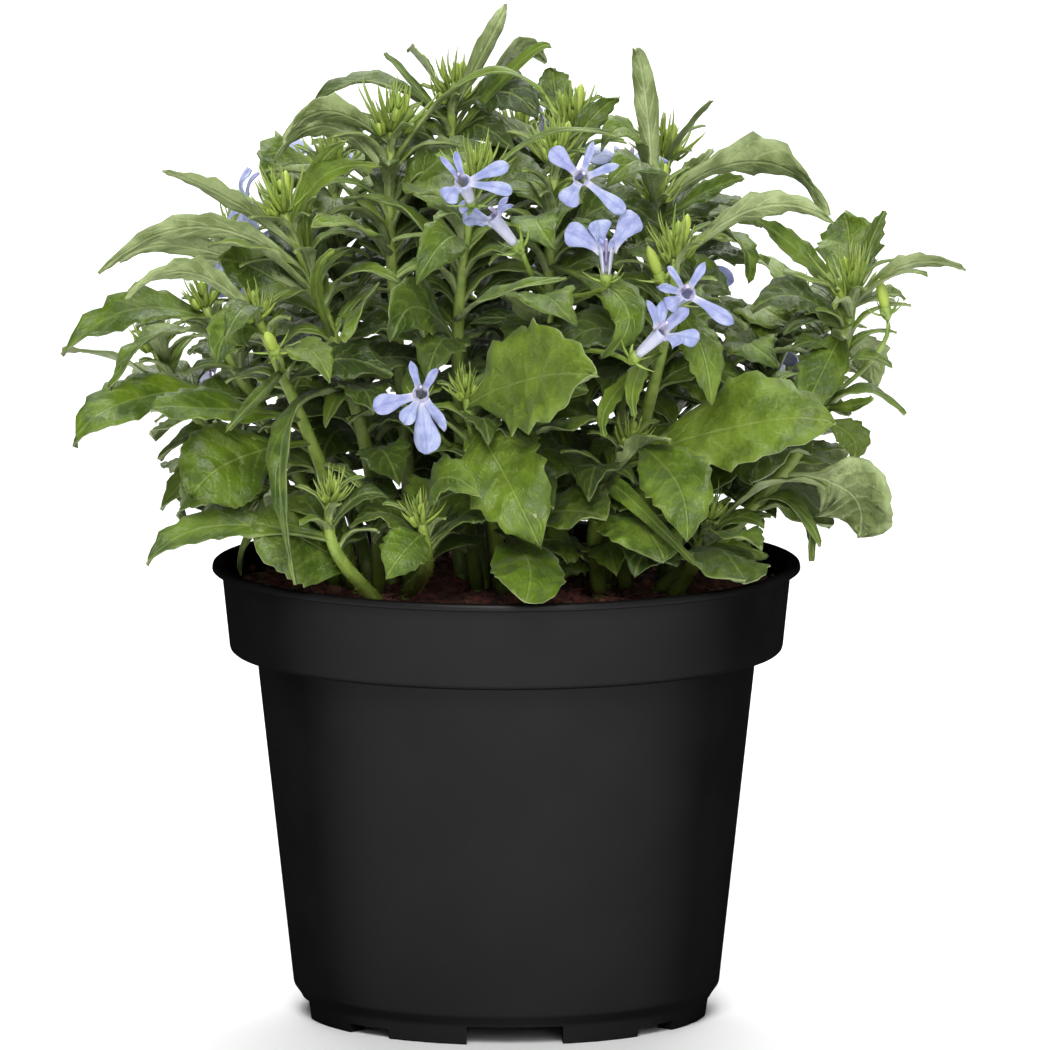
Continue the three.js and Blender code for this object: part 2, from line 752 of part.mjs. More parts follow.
function markStem(stem, owner) {
  const steps = 40;
  for (let i = 0; i <= steps; i += 1) {
    const t = i / steps;
    keepMarks([{ at: stemPoint(stem, t), size: stemRadius(t) + 0.8, owner, loose: false }]);
  }
  const along = headDirection(stem);
  for (const share of [0.2, 0.5, 0.85]) {
    const at = plus(stem.tip, times(along, share * NEEDLE_LENGTH * stem.head));
    keepMarks([{ at, size: 4.6 * stem.head, owner, loose: false }]);
  }
}

// A head of needles carries on from the stem's end, turned half way to upright.
function headDirection(stem) {
  const end = unit(minus(stem.tip, stem.bends[1]));
  return unit(plus(end, [0, 0, 0.8]));
}

// Everything the plant is made of, in the order in which it is given room.
function layOutPlant() {
  const plants = STEMS.map((stem, index) => ({ stem, owner: `stem ${index}`, leaves: [] }));
  for (const { stem, owner } of plants) {
    markStem(stem, owner);
  }
  for (const { stem, owner } of plants) {
    stem.blooms.forEach((row, index) => {
      const frame = bloomFrame(row);
      const from = stemPoint(stem, shareAtHeight(stem, row[0]));
      keepMarks(stalkMarks(from, row[1], frame.calyx, owner));
      keepMarks(bloomMarks(frame, `${owner} bloom ${index}`));
    });
    for (const [height, bend, bud] of stem.buds) {
      keepMarks(stalkMarks(stemPoint(stem, shareAtHeight(stem, height)), bend, bud, owner));
      keepMarks([{ at: plus(bud, [0, 0, 3]), size: 3, owner, loose: false }]);
    }
  }
  for (const plant of plants) {
    for (const row of plant.stem.leaves) {
      plant.leaves.push(placeNamedLeaf(plant.stem, plant.owner, row));
    }
  }
  plants.forEach((plant, number) => {
    const draw = draws(1000 + number);
    for (let index = 0; index < plant.stem.fill[0]; index += 1) {
      plant.leaves.push(placeFillingLeaf(plant.stem, plant.owner, index, draw));
    }
  });
  for (const plant of plants) {
    plant.leaves = plant.leaves.filter((leaf) => leaf !== null);
  }
  return plants;
}

// ---------------------------------------------------------------- solids
// A closed three.js geometry as a solid that can be cut and joined.
function solidOf(geometry) {
  const bare = geometry.index ? geometry.clone() : geometry;
  for (const name of Object.keys(bare.attributes)) {
    if (name !== "position") {
      bare.deleteAttribute(name);
    }
  }
  const merged = mergeVertices(bare, 1e-4);
  const index = merged.index.array;
  const triVerts = [];
  for (let i = 0; i < index.length; i += 3) {
    const [a, b, c] = [index[i], index[i + 1], index[i + 2]];
    if (a !== b && b !== c && c !== a) {
      triVerts.push(a, b, c);
    }
  }
  const vertProperties = new Float32Array(merged.attributes.position.array);
  const build = (triangles) => new wasm.Manifold(
    new wasm.Mesh({ numProp: 3, vertProperties, triVerts: new Uint32Array(triangles) }),
  );
  const solid = build(triVerts);
  return solid.volume() > 0 ? solid : build(triVerts.reverse());
}

// A skin over rings of points, closed by a point at each end. The diagonals turn alike on both sides
// of a ring's even corners, so a thin blade's two faces never cross.
function skin(start, rings, end) {
  const corners = rings[0].length;
  const points = [start, ...rings.flat(), end];
  const last = points.length - 1;
  const at = (ring, corner) => 1 + ring * corners + (corner % corners);
  const triangles = [];
  for (let corner = 0; corner < corners; corner += 1) {
    triangles.push(0, at(0, corner + 1), at(0, corner));
    triangles.push(last, at(rings.length - 1, corner), at(rings.length - 1, corner + 1));
    for (let ring = 0; ring + 1 < rings.length; ring += 1) {
      const [a, b] = [at(ring, corner), at(ring, corner + 1)];
      const [c, d] = [at(ring + 1, corner + 1), at(ring + 1, corner)];
      triangles.push(...(corner % 2 === 0 ? [a, b, c, a, c, d] : [a, b, d, b, c, d]));
    }
  }
  const geometry = new THREE.BufferGeometry();
  geometry.setAttribute("position", new THREE.Float32BufferAttribute(points.flat(), 3));
  geometry.setIndex(triangles);
  return solidOf(geometry);
}

// A ring of points round a centre, in the plane of two directions.
function ringOf(centre, first, second, radius, corners) {
  return Array.from({ length: corners }, (_, corner) => {
    const angle = (2 * Math.PI * corner) / corners;
    const across = plus(times(first, Math.cos(angle)), times(second, Math.sin(angle)));
    return plus(centre, times(across, radius));
  });
}

// Two directions square to a third and to each other.
function squareTo(along) {
  const helper = Math.abs(along[2]) > 0.8 ? [1, 0, 0] : [0, 0, 1];
  const first = unit(cross(along, helper));
  return [first, cross(along, first)];
}

// A spindle: a point, one ring and a point, as needles, buds and calyces are.
function spindle(from, to, widest, radius, corners) {
  const [first, second] = squareTo(unit(minus(to, from)));
  return skin(from, [ringOf(blend(from, to, widest), first, second, radius, corners)], to);
}

// A body made of flat facets, each given as its corners, with a spike on every facet that has a tip.
function spikedSolid(facets) {
  const places = [];
  for (const { corners, tip } of facets) {
    const [a, b, c] = corners;
    places.push(...(tip ? [a, b, tip, b, c, tip, c, a, tip] : [a, b, c]));
  }
  const geometry = new THREE.BufferGeometry();
  geometry.setAttribute("position", new THREE.Float32BufferAttribute(places.flat(), 3));
  return solidOf(geometry);
}

// A blade: rings of left edge, upper rib, right edge and lower rib. A narrow one or a petal is flat
// above, with no upper rib.
function bladeSolid(leaf, stations, fold, thickness) {
  const rings = stations.map(([s, half]) => {
    const { point, across, out } = leafFrame(leaf, s);
    const rib = times(out, thickness / 2);
    const edge = plus(point, times(out, fold * half));
    const left = minus(edge, times(across, half));
    const right = plus(edge, times(across, half));
    const isFlat = leaf.width < NARROW_BLADE || leaf.isPetal;
    return isFlat
      ? [left, right, minus(point, times(out, thickness))]
      : [left, plus(point, rib), right, minus(point, rib)];
  });
  return skin(leaf.root, rings, leaf.tip);
}

function leafSolid(leaf) {
  const kind = KINDS[leaf.kind];
  const stations = [[kind.stalk, STALK_WIDTH / 2]];
  for (const [s, share] of kind.outline) {
    stations.push([s, (share * leaf.width) / 2]);
  }
  return bladeSolid(leaf, stations, kind.fold, RIB_THICKNESS);
}

function stalkSolid(from, bend, to, radius) {
  const rings = [];
  for (const s of [0.05, 0.6]) {
    const centre = blend(blend(from, bend, s), blend(bend, to, s), s);
    const along = unit(minus(blend(bend, to, s), blend(from, bend, s)));
    rings.push(ringOf(centre, ...squareTo(along), radius, 3));
  }
  return skin(from, rings, to);
}

function stemSolid(stem) {
  const top = [stem.root[0], stem.root[1], SOIL_TOP + 1];
  const steps = stepsOf(stem);
  const foot = minus(top, [0, 0, ROOT_DEPTH]);
  const level = [[1, 0, 0], [0, 1, 0]];
  const rings = [ringOf(plus(foot, [0, 0, 0.4]), ...level, STEM_FOOT_RADIUS, STEM_SIDES)];
  for (let step = 0; step <= steps; step += 1) {
    const t = step / steps;
    const ahead = stemPoint(stem, Math.min(1, t + 0.02));
    const behind = stemPoint(stem, Math.max(0, t - 0.02));
    const along = step === 0 ? [0, 0, 1] : unit(minus(ahead, behind));
    const first = unit(minus([1, 0, 0], times(along, along[0])));
    rings.push(ringOf(stemPoint(stem, t), first, cross(along, first), stemRadius(t), STEM_SIDES));
  }
  return skin(foot, rings, plus(stem.tip, headDirection(stem)));
}

// A head: a slim core with a needle standing on each of its facets but the lowest ones, and, on a
// full-sized head, a fat bud among them.
function headSolids(stem, draw) {
  const along = headDirection(stem);
  const [first, second] = squareTo(along);
  const length = CORE.length * stem.head;
  const radius = CORE.radius * (0.4 + 0.6 * stem.head);
  const top = plus(stem.tip, times(along, length));
  const lower = ringOf(plus(stem.tip, times(along, length * 0.3)), first, second, radius, CORE.sides);
  const upper = ringOf(plus(stem.tip, times(along, length * 0.8)), first, second, radius * 0.8, CORE.sides);
  const heart = plus(stem.tip, times(along, length * 0.25));
  const facets = [];
  const addNeedle = (corners) => {
    const middle = times(plus(plus(corners[0], corners[1]), corners[2]), 1 / 3);
    const out = unit(plus(unit(minus(middle, heart)), times(along, 0.45)));
    const reach = NEEDLE_LENGTH * stem.head * (0.8 + 0.3 * draw());
    facets.push({ corners, tip: plus(middle, times(out, reach)) });
  };
  for (let i = 0; i < CORE.sides; i += 1) {
    const next = (i + 1) % CORE.sides;
    facets.push({ corners: [stem.tip, lower[next], lower[i]], tip: null });
    addNeedle([lower[i], lower[next], upper[i]]);
    addNeedle([lower[next], upper[next], upper[i]]);
    addNeedle([upper[i], upper[next], top]);
  }
  const parts = [spikedSolid(facets)];
  if (stem.head >= BUD.least) {
    const budTip = plus(heart, times(unit(plus(along, times(first, 0.7))), BUD.length * 1.2));
    parts.push(spindle(heart, budTip, 0.66, BUD.radius, 4));
  }
  return parts;
}

// A calyx: a small cup on its pedicel, with a narrow sepal standing on each of its lower facets.
function calyxSolids(from, bend, calyx, along) {
  const cup = minus(calyx, times(along, CALYX_LENGTH));
  const middle = minus(calyx, times(along, CALYX_LENGTH * 0.3));
  const [first, second] = squareTo(along);
  const rim = ringOf(middle, first, second, CALYX_RADIUS, SEPALS);
  const facets = [];
  for (let i = 0; i < SEPALS; i += 1) {
    const next = (i + 1) % SEPALS;
    const side = blend(rim[i], rim[next], 0.5);
    const out = unit(plus(times(unit(minus(side, middle)), 1.1), times(along, 0.5)));
    const tip = plus(blend(cup, side, 0.6), times(out, SEPAL_LENGTH));
    facets.push({ corners: [cup, rim[next], rim[i]], tip });
    facets.push({ corners: [calyx, rim[i], rim[next]], tip: null });
  }
  const stalk = stalkSolid(from, bend, plus(cup, times(along, 0.7)), PEDICEL_RADIUS);
  return [stalk, spikedSolid(facets)];
}

function bloomSolid(row) {
  const frame = bloomFrame(row);
  const foot = plus(frame.calyx, times(frame.along, CALYX_GAP));
  const rings = [
    ringOf(plus(foot, times(frame.along, 0.4)), frame.up, frame.across, TUBE_RADII[0], TUBE_SIDES),
    ringOf(frame.mouth, frame.up, frame.across, TUBE_RADII[1], TUBE_SIDES),
  ];
  const parts = [skin(foot, rings, plus(frame.mouth, times(frame.along, 0.3)))];
  for (const lobe of bloomLobes(frame)) {
    const half = lobe.width / 2;
    const stations = [[0.45, half * 0.55], [0.82, half]];
    parts.push(bladeSolid(lobe, stations, -0.1, 0.8));
  }
  return join(parts);
}

const join = (parts) => parts.reduce((all, part) => all.add(part));

// ---------------------------------------------------------------- pot and peat
function turned(profile, sides) {
  const points = profile.map(([r, z]) => new THREE.Vector2(r, z));
  const geometry = new THREE.LatheGeometry(points, sides);
  geometry.rotateX(Math.PI / 2);
  return geometry;
}

function potSolid() {
  const bandFoot = POT_HEIGHT - BAND_HEIGHT;
  const lipFoot = POT_HEIGHT - LIP_THICKNESS;
  const floorTop = FLOOR_CLEARANCE + FLOOR_THICKNESS;
  const ledgeTop = bandFoot + WALL_THICKNESS;
  const outside = [
    [0, FLOOR_CLEARANCE],
    [FOOT_RADIUS - FOOT_RING_WIDTH, FLOOR_CLEARANCE],
    [FOOT_RADIUS - FOOT_RING_WIDTH, 0],
    [FOOT_RADIUS, 0],
    [FOOT_TOP_RADIUS, NARROW_NOTCH.height * 2],
    [WALL_FOOT_RADIUS, LEDGE_HEIGHT],
    [WALL_TOP_RADIUS, bandFoot],
    [BAND_FOOT_RADIUS - 0.5, bandFoot],
    [BAND_FOOT_RADIUS, bandFoot + 0.7],
    [BAND_TOP_RADIUS, lipFoot],
    [LIP_RADIUS - 0.2, lipFoot],
    [LIP_RADIUS, lipFoot + 0.5],
    [LIP_RADIUS - 0.3, POT_HEIGHT],
  ];
  const inside = [
    [LIP_RADIUS - LIP_WIDTH, POT_HEIGHT],
    [BAND_TOP_RADIUS - WALL_THICKNESS, lipFoot],
    [BAND_FOOT_RADIUS - WALL_THICKNESS, ledgeTop + LEDGE_FALL],
    [WALL_TOP_RADIUS - WALL_THICKNESS, ledgeTop],
    [FOOT_TOP_RADIUS - 0.3, floorTop],
    [0, floorTop],
  ];
  const cuts = [];
  for (let i = 0; i < 8; i += 1) {
    const notch = i % 2 === 0 ? WIDE_NOTCH : NARROW_NOTCH;
    const box = new THREE.BoxGeometry(FOOT_RING_WIDTH * 3, notch.width, notch.height * 2);
    box.translate(FOOT_RADIUS, 0, 0);
    box.rotateZ(((NOTCH_TURN - 90 + i * 45) * Math.PI) / 180);
    cuts.push(solidOf(box));
  }
  for (let i = 0; i < DRAIN.count; i += 1) {
    const hole = new THREE.CylinderGeometry(DRAIN.radius, DRAIN.radius, FLOOR_THICKNESS * 4, 6);
    hole.rotateX(Math.PI / 2);
    hole.translate(DRAIN.circle, 0, FLOOR_CLEARANCE);
    hole.rotateZ(((i + 0.5) * 2 * Math.PI) / DRAIN.count);
    cuts.push(solidOf(hole));
  }
  return solidOf(turned([...outside, ...inside], POT_SIDES)).subtract(join(cuts));
}

function soilSolid() {
  const ledge = POT_HEIGHT - BAND_HEIGHT + WALL_THICKNESS + SOIL_GAP;
  const edge = BAND_TOP_RADIUS - WALL_THICKNESS - SOIL_GAP - 0.6;
  const geometry = turned([
    [0, FLOOR_CLEARANCE + FLOOR_THICKNESS + SOIL_GAP],
    [FOOT_TOP_RADIUS - 0.3 - SOIL_GAP, FLOOR_CLEARANCE + FLOOR_THICKNESS + SOIL_GAP],
    [WALL_TOP_RADIUS - WALL_THICKNESS - SOIL_GAP, ledge],
    [BAND_FOOT_RADIUS - WALL_THICKNESS - SOIL_GAP, ledge + LEDGE_FALL],
    [edge, SOIL_TOP - 0.8],
    [edge * 0.6, SOIL_TOP],
    [0, SOIL_TOP],
  ], SOIL_SIDES);
  const places = geometry.attributes.position;
  for (let i = 0; i < places.count; i += 1) {
    const [x, y, z] = [places.getX(i), places.getY(i), places.getZ(i)];
    const isInner = Math.hypot(x, y) < edge - 1;
    if (z > SOIL_TOP - 0.1 && isInner) {
      places.setZ(i, z + SOIL_BUMP * Math.sin(x * 0.31) * Math.cos(y * 0.27));
    }
  }
  const holes = STEMS.map((stem) => {
    const radius = STEM_FOOT_RADIUS + ROOT_HOLE_GAP;
    const hole = new THREE.CylinderGeometry(radius, radius, ROOT_DEPTH * 2, STEM_SIDES);
    hole.rotateX(Math.PI / 2);
    hole.translate(stem.root[0], stem.root[1], SOIL_TOP + 1 - ROOT_HOLE_GAP);
    return solidOf(hole);
  });
  return solidOf(geometry).subtract(join(holes));
}

// ---------------------------------------------------------------- the object
const plastic = new THREE.MeshStandardMaterial({ color: 0x232323, roughness: 0.45, metalness: 0 });
const peat = new THREE.MeshStandardMaterial({ color: 0x2a1610, roughness: 1, metalness: 0 });
const green = new THREE.MeshStandardMaterial({ color: 0x5f7f2c, roughness: 0.6, metalness: 0 });
const petal = new THREE.MeshStandardMaterial({ color: 0xb4c0f0, roughness: 0.55, metalness: 0 });

function meshOf(name, solid, material) {
  const { vertProperties, triVerts } = solid.getMesh();
  const geometry = new THREE.BufferGeometry();
  geometry.setAttribute("position", new THREE.Float32BufferAttribute(vertProperties, 3));
  geometry.setIndex(Array.from(triVerts));
  geometry.computeVertexNormals();
  const mesh = new THREE.Mesh(geometry, material);
  mesh.name = name;
  return mesh;
}

const numbered = (word, number) => `${word}_${String(number).padStart(2, "0")}`;

const plant = new THREE.Group();
plant.add(meshOf("pot", potSolid(), plastic));
plant.add(meshOf("soil", soilSolid(), peat));

let bloomNumber = 0;
layOutPlant().forEach(({ stem, leaves }, index) => {
  const draw = draws(5000 + index);
  const parts = [stemSolid(stem), ...leaves.map(leafSolid), ...headSolids(stem, draw)];
  for (const row of stem.blooms) {
    const frame = bloomFrame(row);
    const from = rootPoint(stem, shareAtHeight(stem, row[0]));
    parts.push(...calyxSolids(from, row[1], frame.calyx, frame.along));
    bloomNumber += 1;
    plant.add(meshOf(numbered("bloom", bloomNumber), bloomSolid(row), petal));
  }
  for (const [height, bend, bud] of stem.buds) {
    const from = rootPoint(stem, shareAtHeight(stem, height));
    parts.push(...calyxSolids(from, bend, bud, [0, 0, 1]));
    parts.push(spindle(minus(bud, [0, 0, 1.5]), plus(bud, [0, 0, BUD.length]), 0.55, BUD.radius, 5));
  }
  plant.add(meshOf(numbered("stem", index + 1), join(parts), green));
});

export default plant;
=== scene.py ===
# %% [markdown]
# # A trailing lobelia in its nursery pot
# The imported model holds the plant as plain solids: a pot, its peat, 26 leafy stems and 21 blooms.
# This lesson dresses them. Every leaf, needle and petal grows again where its solid stands, but
# thinner, with teeth, waves and veins, and the pot and the peat get their finish.
# The frame comes first, because each piece goes where the model says, with no fitting.

# %% Load the frame
import math

import bpy
import numpy as np
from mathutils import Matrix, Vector, noise


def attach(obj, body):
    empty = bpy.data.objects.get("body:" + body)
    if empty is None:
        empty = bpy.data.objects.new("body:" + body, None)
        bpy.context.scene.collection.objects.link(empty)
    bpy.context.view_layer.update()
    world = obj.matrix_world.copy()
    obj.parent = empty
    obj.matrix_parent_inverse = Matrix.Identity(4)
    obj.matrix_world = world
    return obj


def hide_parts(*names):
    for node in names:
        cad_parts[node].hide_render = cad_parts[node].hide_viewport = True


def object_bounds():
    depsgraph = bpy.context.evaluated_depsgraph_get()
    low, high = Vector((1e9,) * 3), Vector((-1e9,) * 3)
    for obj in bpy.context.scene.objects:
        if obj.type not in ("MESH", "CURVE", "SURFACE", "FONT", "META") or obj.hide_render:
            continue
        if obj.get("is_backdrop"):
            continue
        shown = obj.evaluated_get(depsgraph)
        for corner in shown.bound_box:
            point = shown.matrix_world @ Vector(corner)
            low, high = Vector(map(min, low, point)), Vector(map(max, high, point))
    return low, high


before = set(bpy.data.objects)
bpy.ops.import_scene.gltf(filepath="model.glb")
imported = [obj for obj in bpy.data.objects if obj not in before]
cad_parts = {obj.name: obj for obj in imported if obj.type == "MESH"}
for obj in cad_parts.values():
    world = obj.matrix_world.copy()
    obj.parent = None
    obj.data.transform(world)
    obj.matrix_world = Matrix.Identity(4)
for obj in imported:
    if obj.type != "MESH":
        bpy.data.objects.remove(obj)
cad_low, cad_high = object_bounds()
MM = 0.001
print("the model measures", [round(v / MM, 1) for v in cad_high - cad_low], "mm")

# %% [markdown]
# ## Camera, floor and light
# A long lens from three metres away keeps the pot's sides nearly straight, as in a catalogue
# picture. The camera looks down by a little over eight degrees, which opens the rim to an ellipse.

# %% Camera
LOOK_DOWN = math.radians(8.28)
CAMERA_DISTANCE = 3.0
AIM = Vector((0.0038, 0.0, 0.1002))
bpy.ops.object.camera_add(rotation=(math.pi / 2 - LOOK_DOWN, 0, 0))
camera = bpy.context.object
camera.name = "camera"
camera.location = AIM + CAMERA_DISTANCE * Vector((0, -math.cos(LOOK_DOWN), math.sin(LOOK_DOWN)))
camera.data.lens = 505
camera.data.sensor_width = 36
camera.data.clip_end = 50
bpy.context.scene.camera = camera
print("camera", tuple(round(v, 3) for v in camera.location))

# %% [markdown]
# The light is a studio's: one wide soft box above the front, a little to the left, a weaker one
# beside the camera, one above that lights the leaves' edges, one for the floor behind, and a dim
# pale room. The floor is plain and pale.


# %% Light and floor
def deselect_all():
    for thing in bpy.context.selected_objects:
        thing.select_set(False)


def soft_box(name, place, width, power, aim=AIM):
    bpy.ops.object.light_add(type="AREA", location=place)
    light = bpy.context.object
    light.name = name
    light.data.size = width
    light.data.energy = power
    light.rotation_euler = (aim - light.location).to_track_quat("-Z", "Y").to_euler()


soft_box("key_light", (-0.2, -2.1, 1.75), 1.0, 57)
soft_box("front_light", (0.5, -2.6, 1.0), 1.2, 26)
soft_box("top_light", (0.1, 0.5, 2.2), 1.4, 24)
soft_box("back_light", (0.0, 1.9, 2.2), 2.4, 78, Vector((0, 1.3, 0)))
room = bpy.data.worlds.new("room")
room.use_nodes = True
sky = room.node_tree.nodes["Background"].inputs
sky["Color"].default_value = (1, 1, 1, 1)
sky["Strength"].default_value = 0.19
bpy.context.scene.world = room
bpy.context.scene.view_settings.view_transform = "Standard"

deselect_all()
bpy.ops.mesh.primitive_plane_add(size=24)
floor = bpy.context.object
floor.name = "floor"
floor_finish = bpy.data.materials.new("pale_floor")
floor_finish.use_nodes = True
paint = floor_finish.node_tree.nodes["Principled BSDF"].inputs
paint["Base Color"].default_value = (0.9, 0.9, 0.9, 1)
paint["Roughness"].default_value = 0.9
floor.data.materials.append(floor_finish)
floor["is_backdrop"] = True

# %% [markdown]
# ## Sizes that the solids were made with
# The fine pieces stand where the solids stand, so the same few sizes rule both. Lengths are in
# millimetres, because that is how a gardener and a mould maker think, and they turn to metres only
# when a mesh is made. A leaf kind has its stalk as a share of its length, how far its edges stand
# above the rib, and its plain outline as place along the leaf and share of its half width.

# %% Sizes
POT_HEIGHT = 92.8
LIP_RADIUS, LIP_WIDTH, LIP_THICKNESS = 60, 2.4, 1.5
BAND_TOP_RADIUS, BAND_FOOT_RADIUS, BAND_HEIGHT = 58, 56.3, 18
WALL_TOP_RADIUS, WALL_FOOT_RADIUS, WALL_THICKNESS = 51, 43.5, 1.4
LEDGE_FALL, LEDGE_HEIGHT = 0.6, 6.2
FOOT_TOP_RADIUS, FOOT_RADIUS, FOOT_RING_WIDTH = 41.9, 41.3, 4
FLOOR_CLEARANCE, FLOOR_THICKNESS = 4.3, 1.6
NOTCH_TURN, NOTCHES = 2.5, ((19.5, 3.8), (10.7, 2.0))
DRAIN_RADIUS, DRAIN_CIRCLE, DRAIN_COUNT = 4, 22, 4
SOIL_DEPTH, SOIL_GAP = 5.2, 0.4
SOIL_TOP = POT_HEIGHT - SOIL_DEPTH
ROOT_DEPTH, STEM_FOOT_RADIUS, STEM_TIP_RADIUS = 7, 1.6, 0.95
STALK_WIDTH, PEDICEL_RADIUS = 1.2, 0.5
CALYX_LENGTH, CALYX_RADIUS, SEPAL_LENGTH = 2.4, 1.3, 4.5
TUBE_LENGTH, CALYX_GAP = 8, 0.4
UPPER_LOBE = {"length": 8, "width": 2.4, "spread": 24, "lean": 0.2}
LOWER_LOBE = {"length": 10.5, "width": 5.8, "spread": 54, "lean": 0.32}
NEEDLE_LENGTH, BUD_LENGTH = 12, 6.5
UP, FRONT, SLANT = (0, -0.2, 1), (0, -1, 0.25), (0, -0.7, 0.7)
LEFT, RIGHT = (-0.7, -0.5, 0.5), (0.7, -0.5, 0.5)
BACK, UNDER = (0, 0.6, 0.8), (0, 0.85, 0.5)
KINDS = {
    "round": (0.2, -0.12, ((0.34, 0.7), (0.5, 0.96), (0.74, 0.9), (0.92, 0.5))),
    "broad": (0.1, 0.12, ((0.3, 0.76), (0.46, 1), (0.66, 0.66), (0.71, 0.84))),
    "lance": (0.06, 0.3, ((0.5, 1), (0.74, 0.5), (0.79, 0.7))),
    "linear": (0.04, 0.35, ((0.4, 1), (0.72, 0.7))),
}
print("pot", 2 * LIP_RADIUS, "mm across,", POT_HEIGHT, "mm high")

# %% [markdown]
# ## The plant's table
# Each leafy stem has a root on the peat, two bends and a tip, the size of its head of young leaves,
# how many leaves grow on it by rule and from which height up, and its own leaves, blooms and buds:
# - a leaf is (height on the stem, kind, width, mid-leaf, tip, where its upper face looks),
# - a bloom is (height, bend of its stalk, calyx, direction of its tube, direction of its upper lobes),
# - a bud is (height, bend of its stalk, bud).


# %% The stems
def leafy_stem(root, bend1, bend2, tip, head, fill, fill_from, leaves=(), blooms=(), buds=()):
    handles = ((*root, SOIL_TOP + 1.0), bend1, bend2, tip)
    return {"handles": handles, "tip": tip, "head": head, "fill": fill, "fill_from": fill_from,
            "leaves": leaves, "blooms": blooms, "buds": buds}


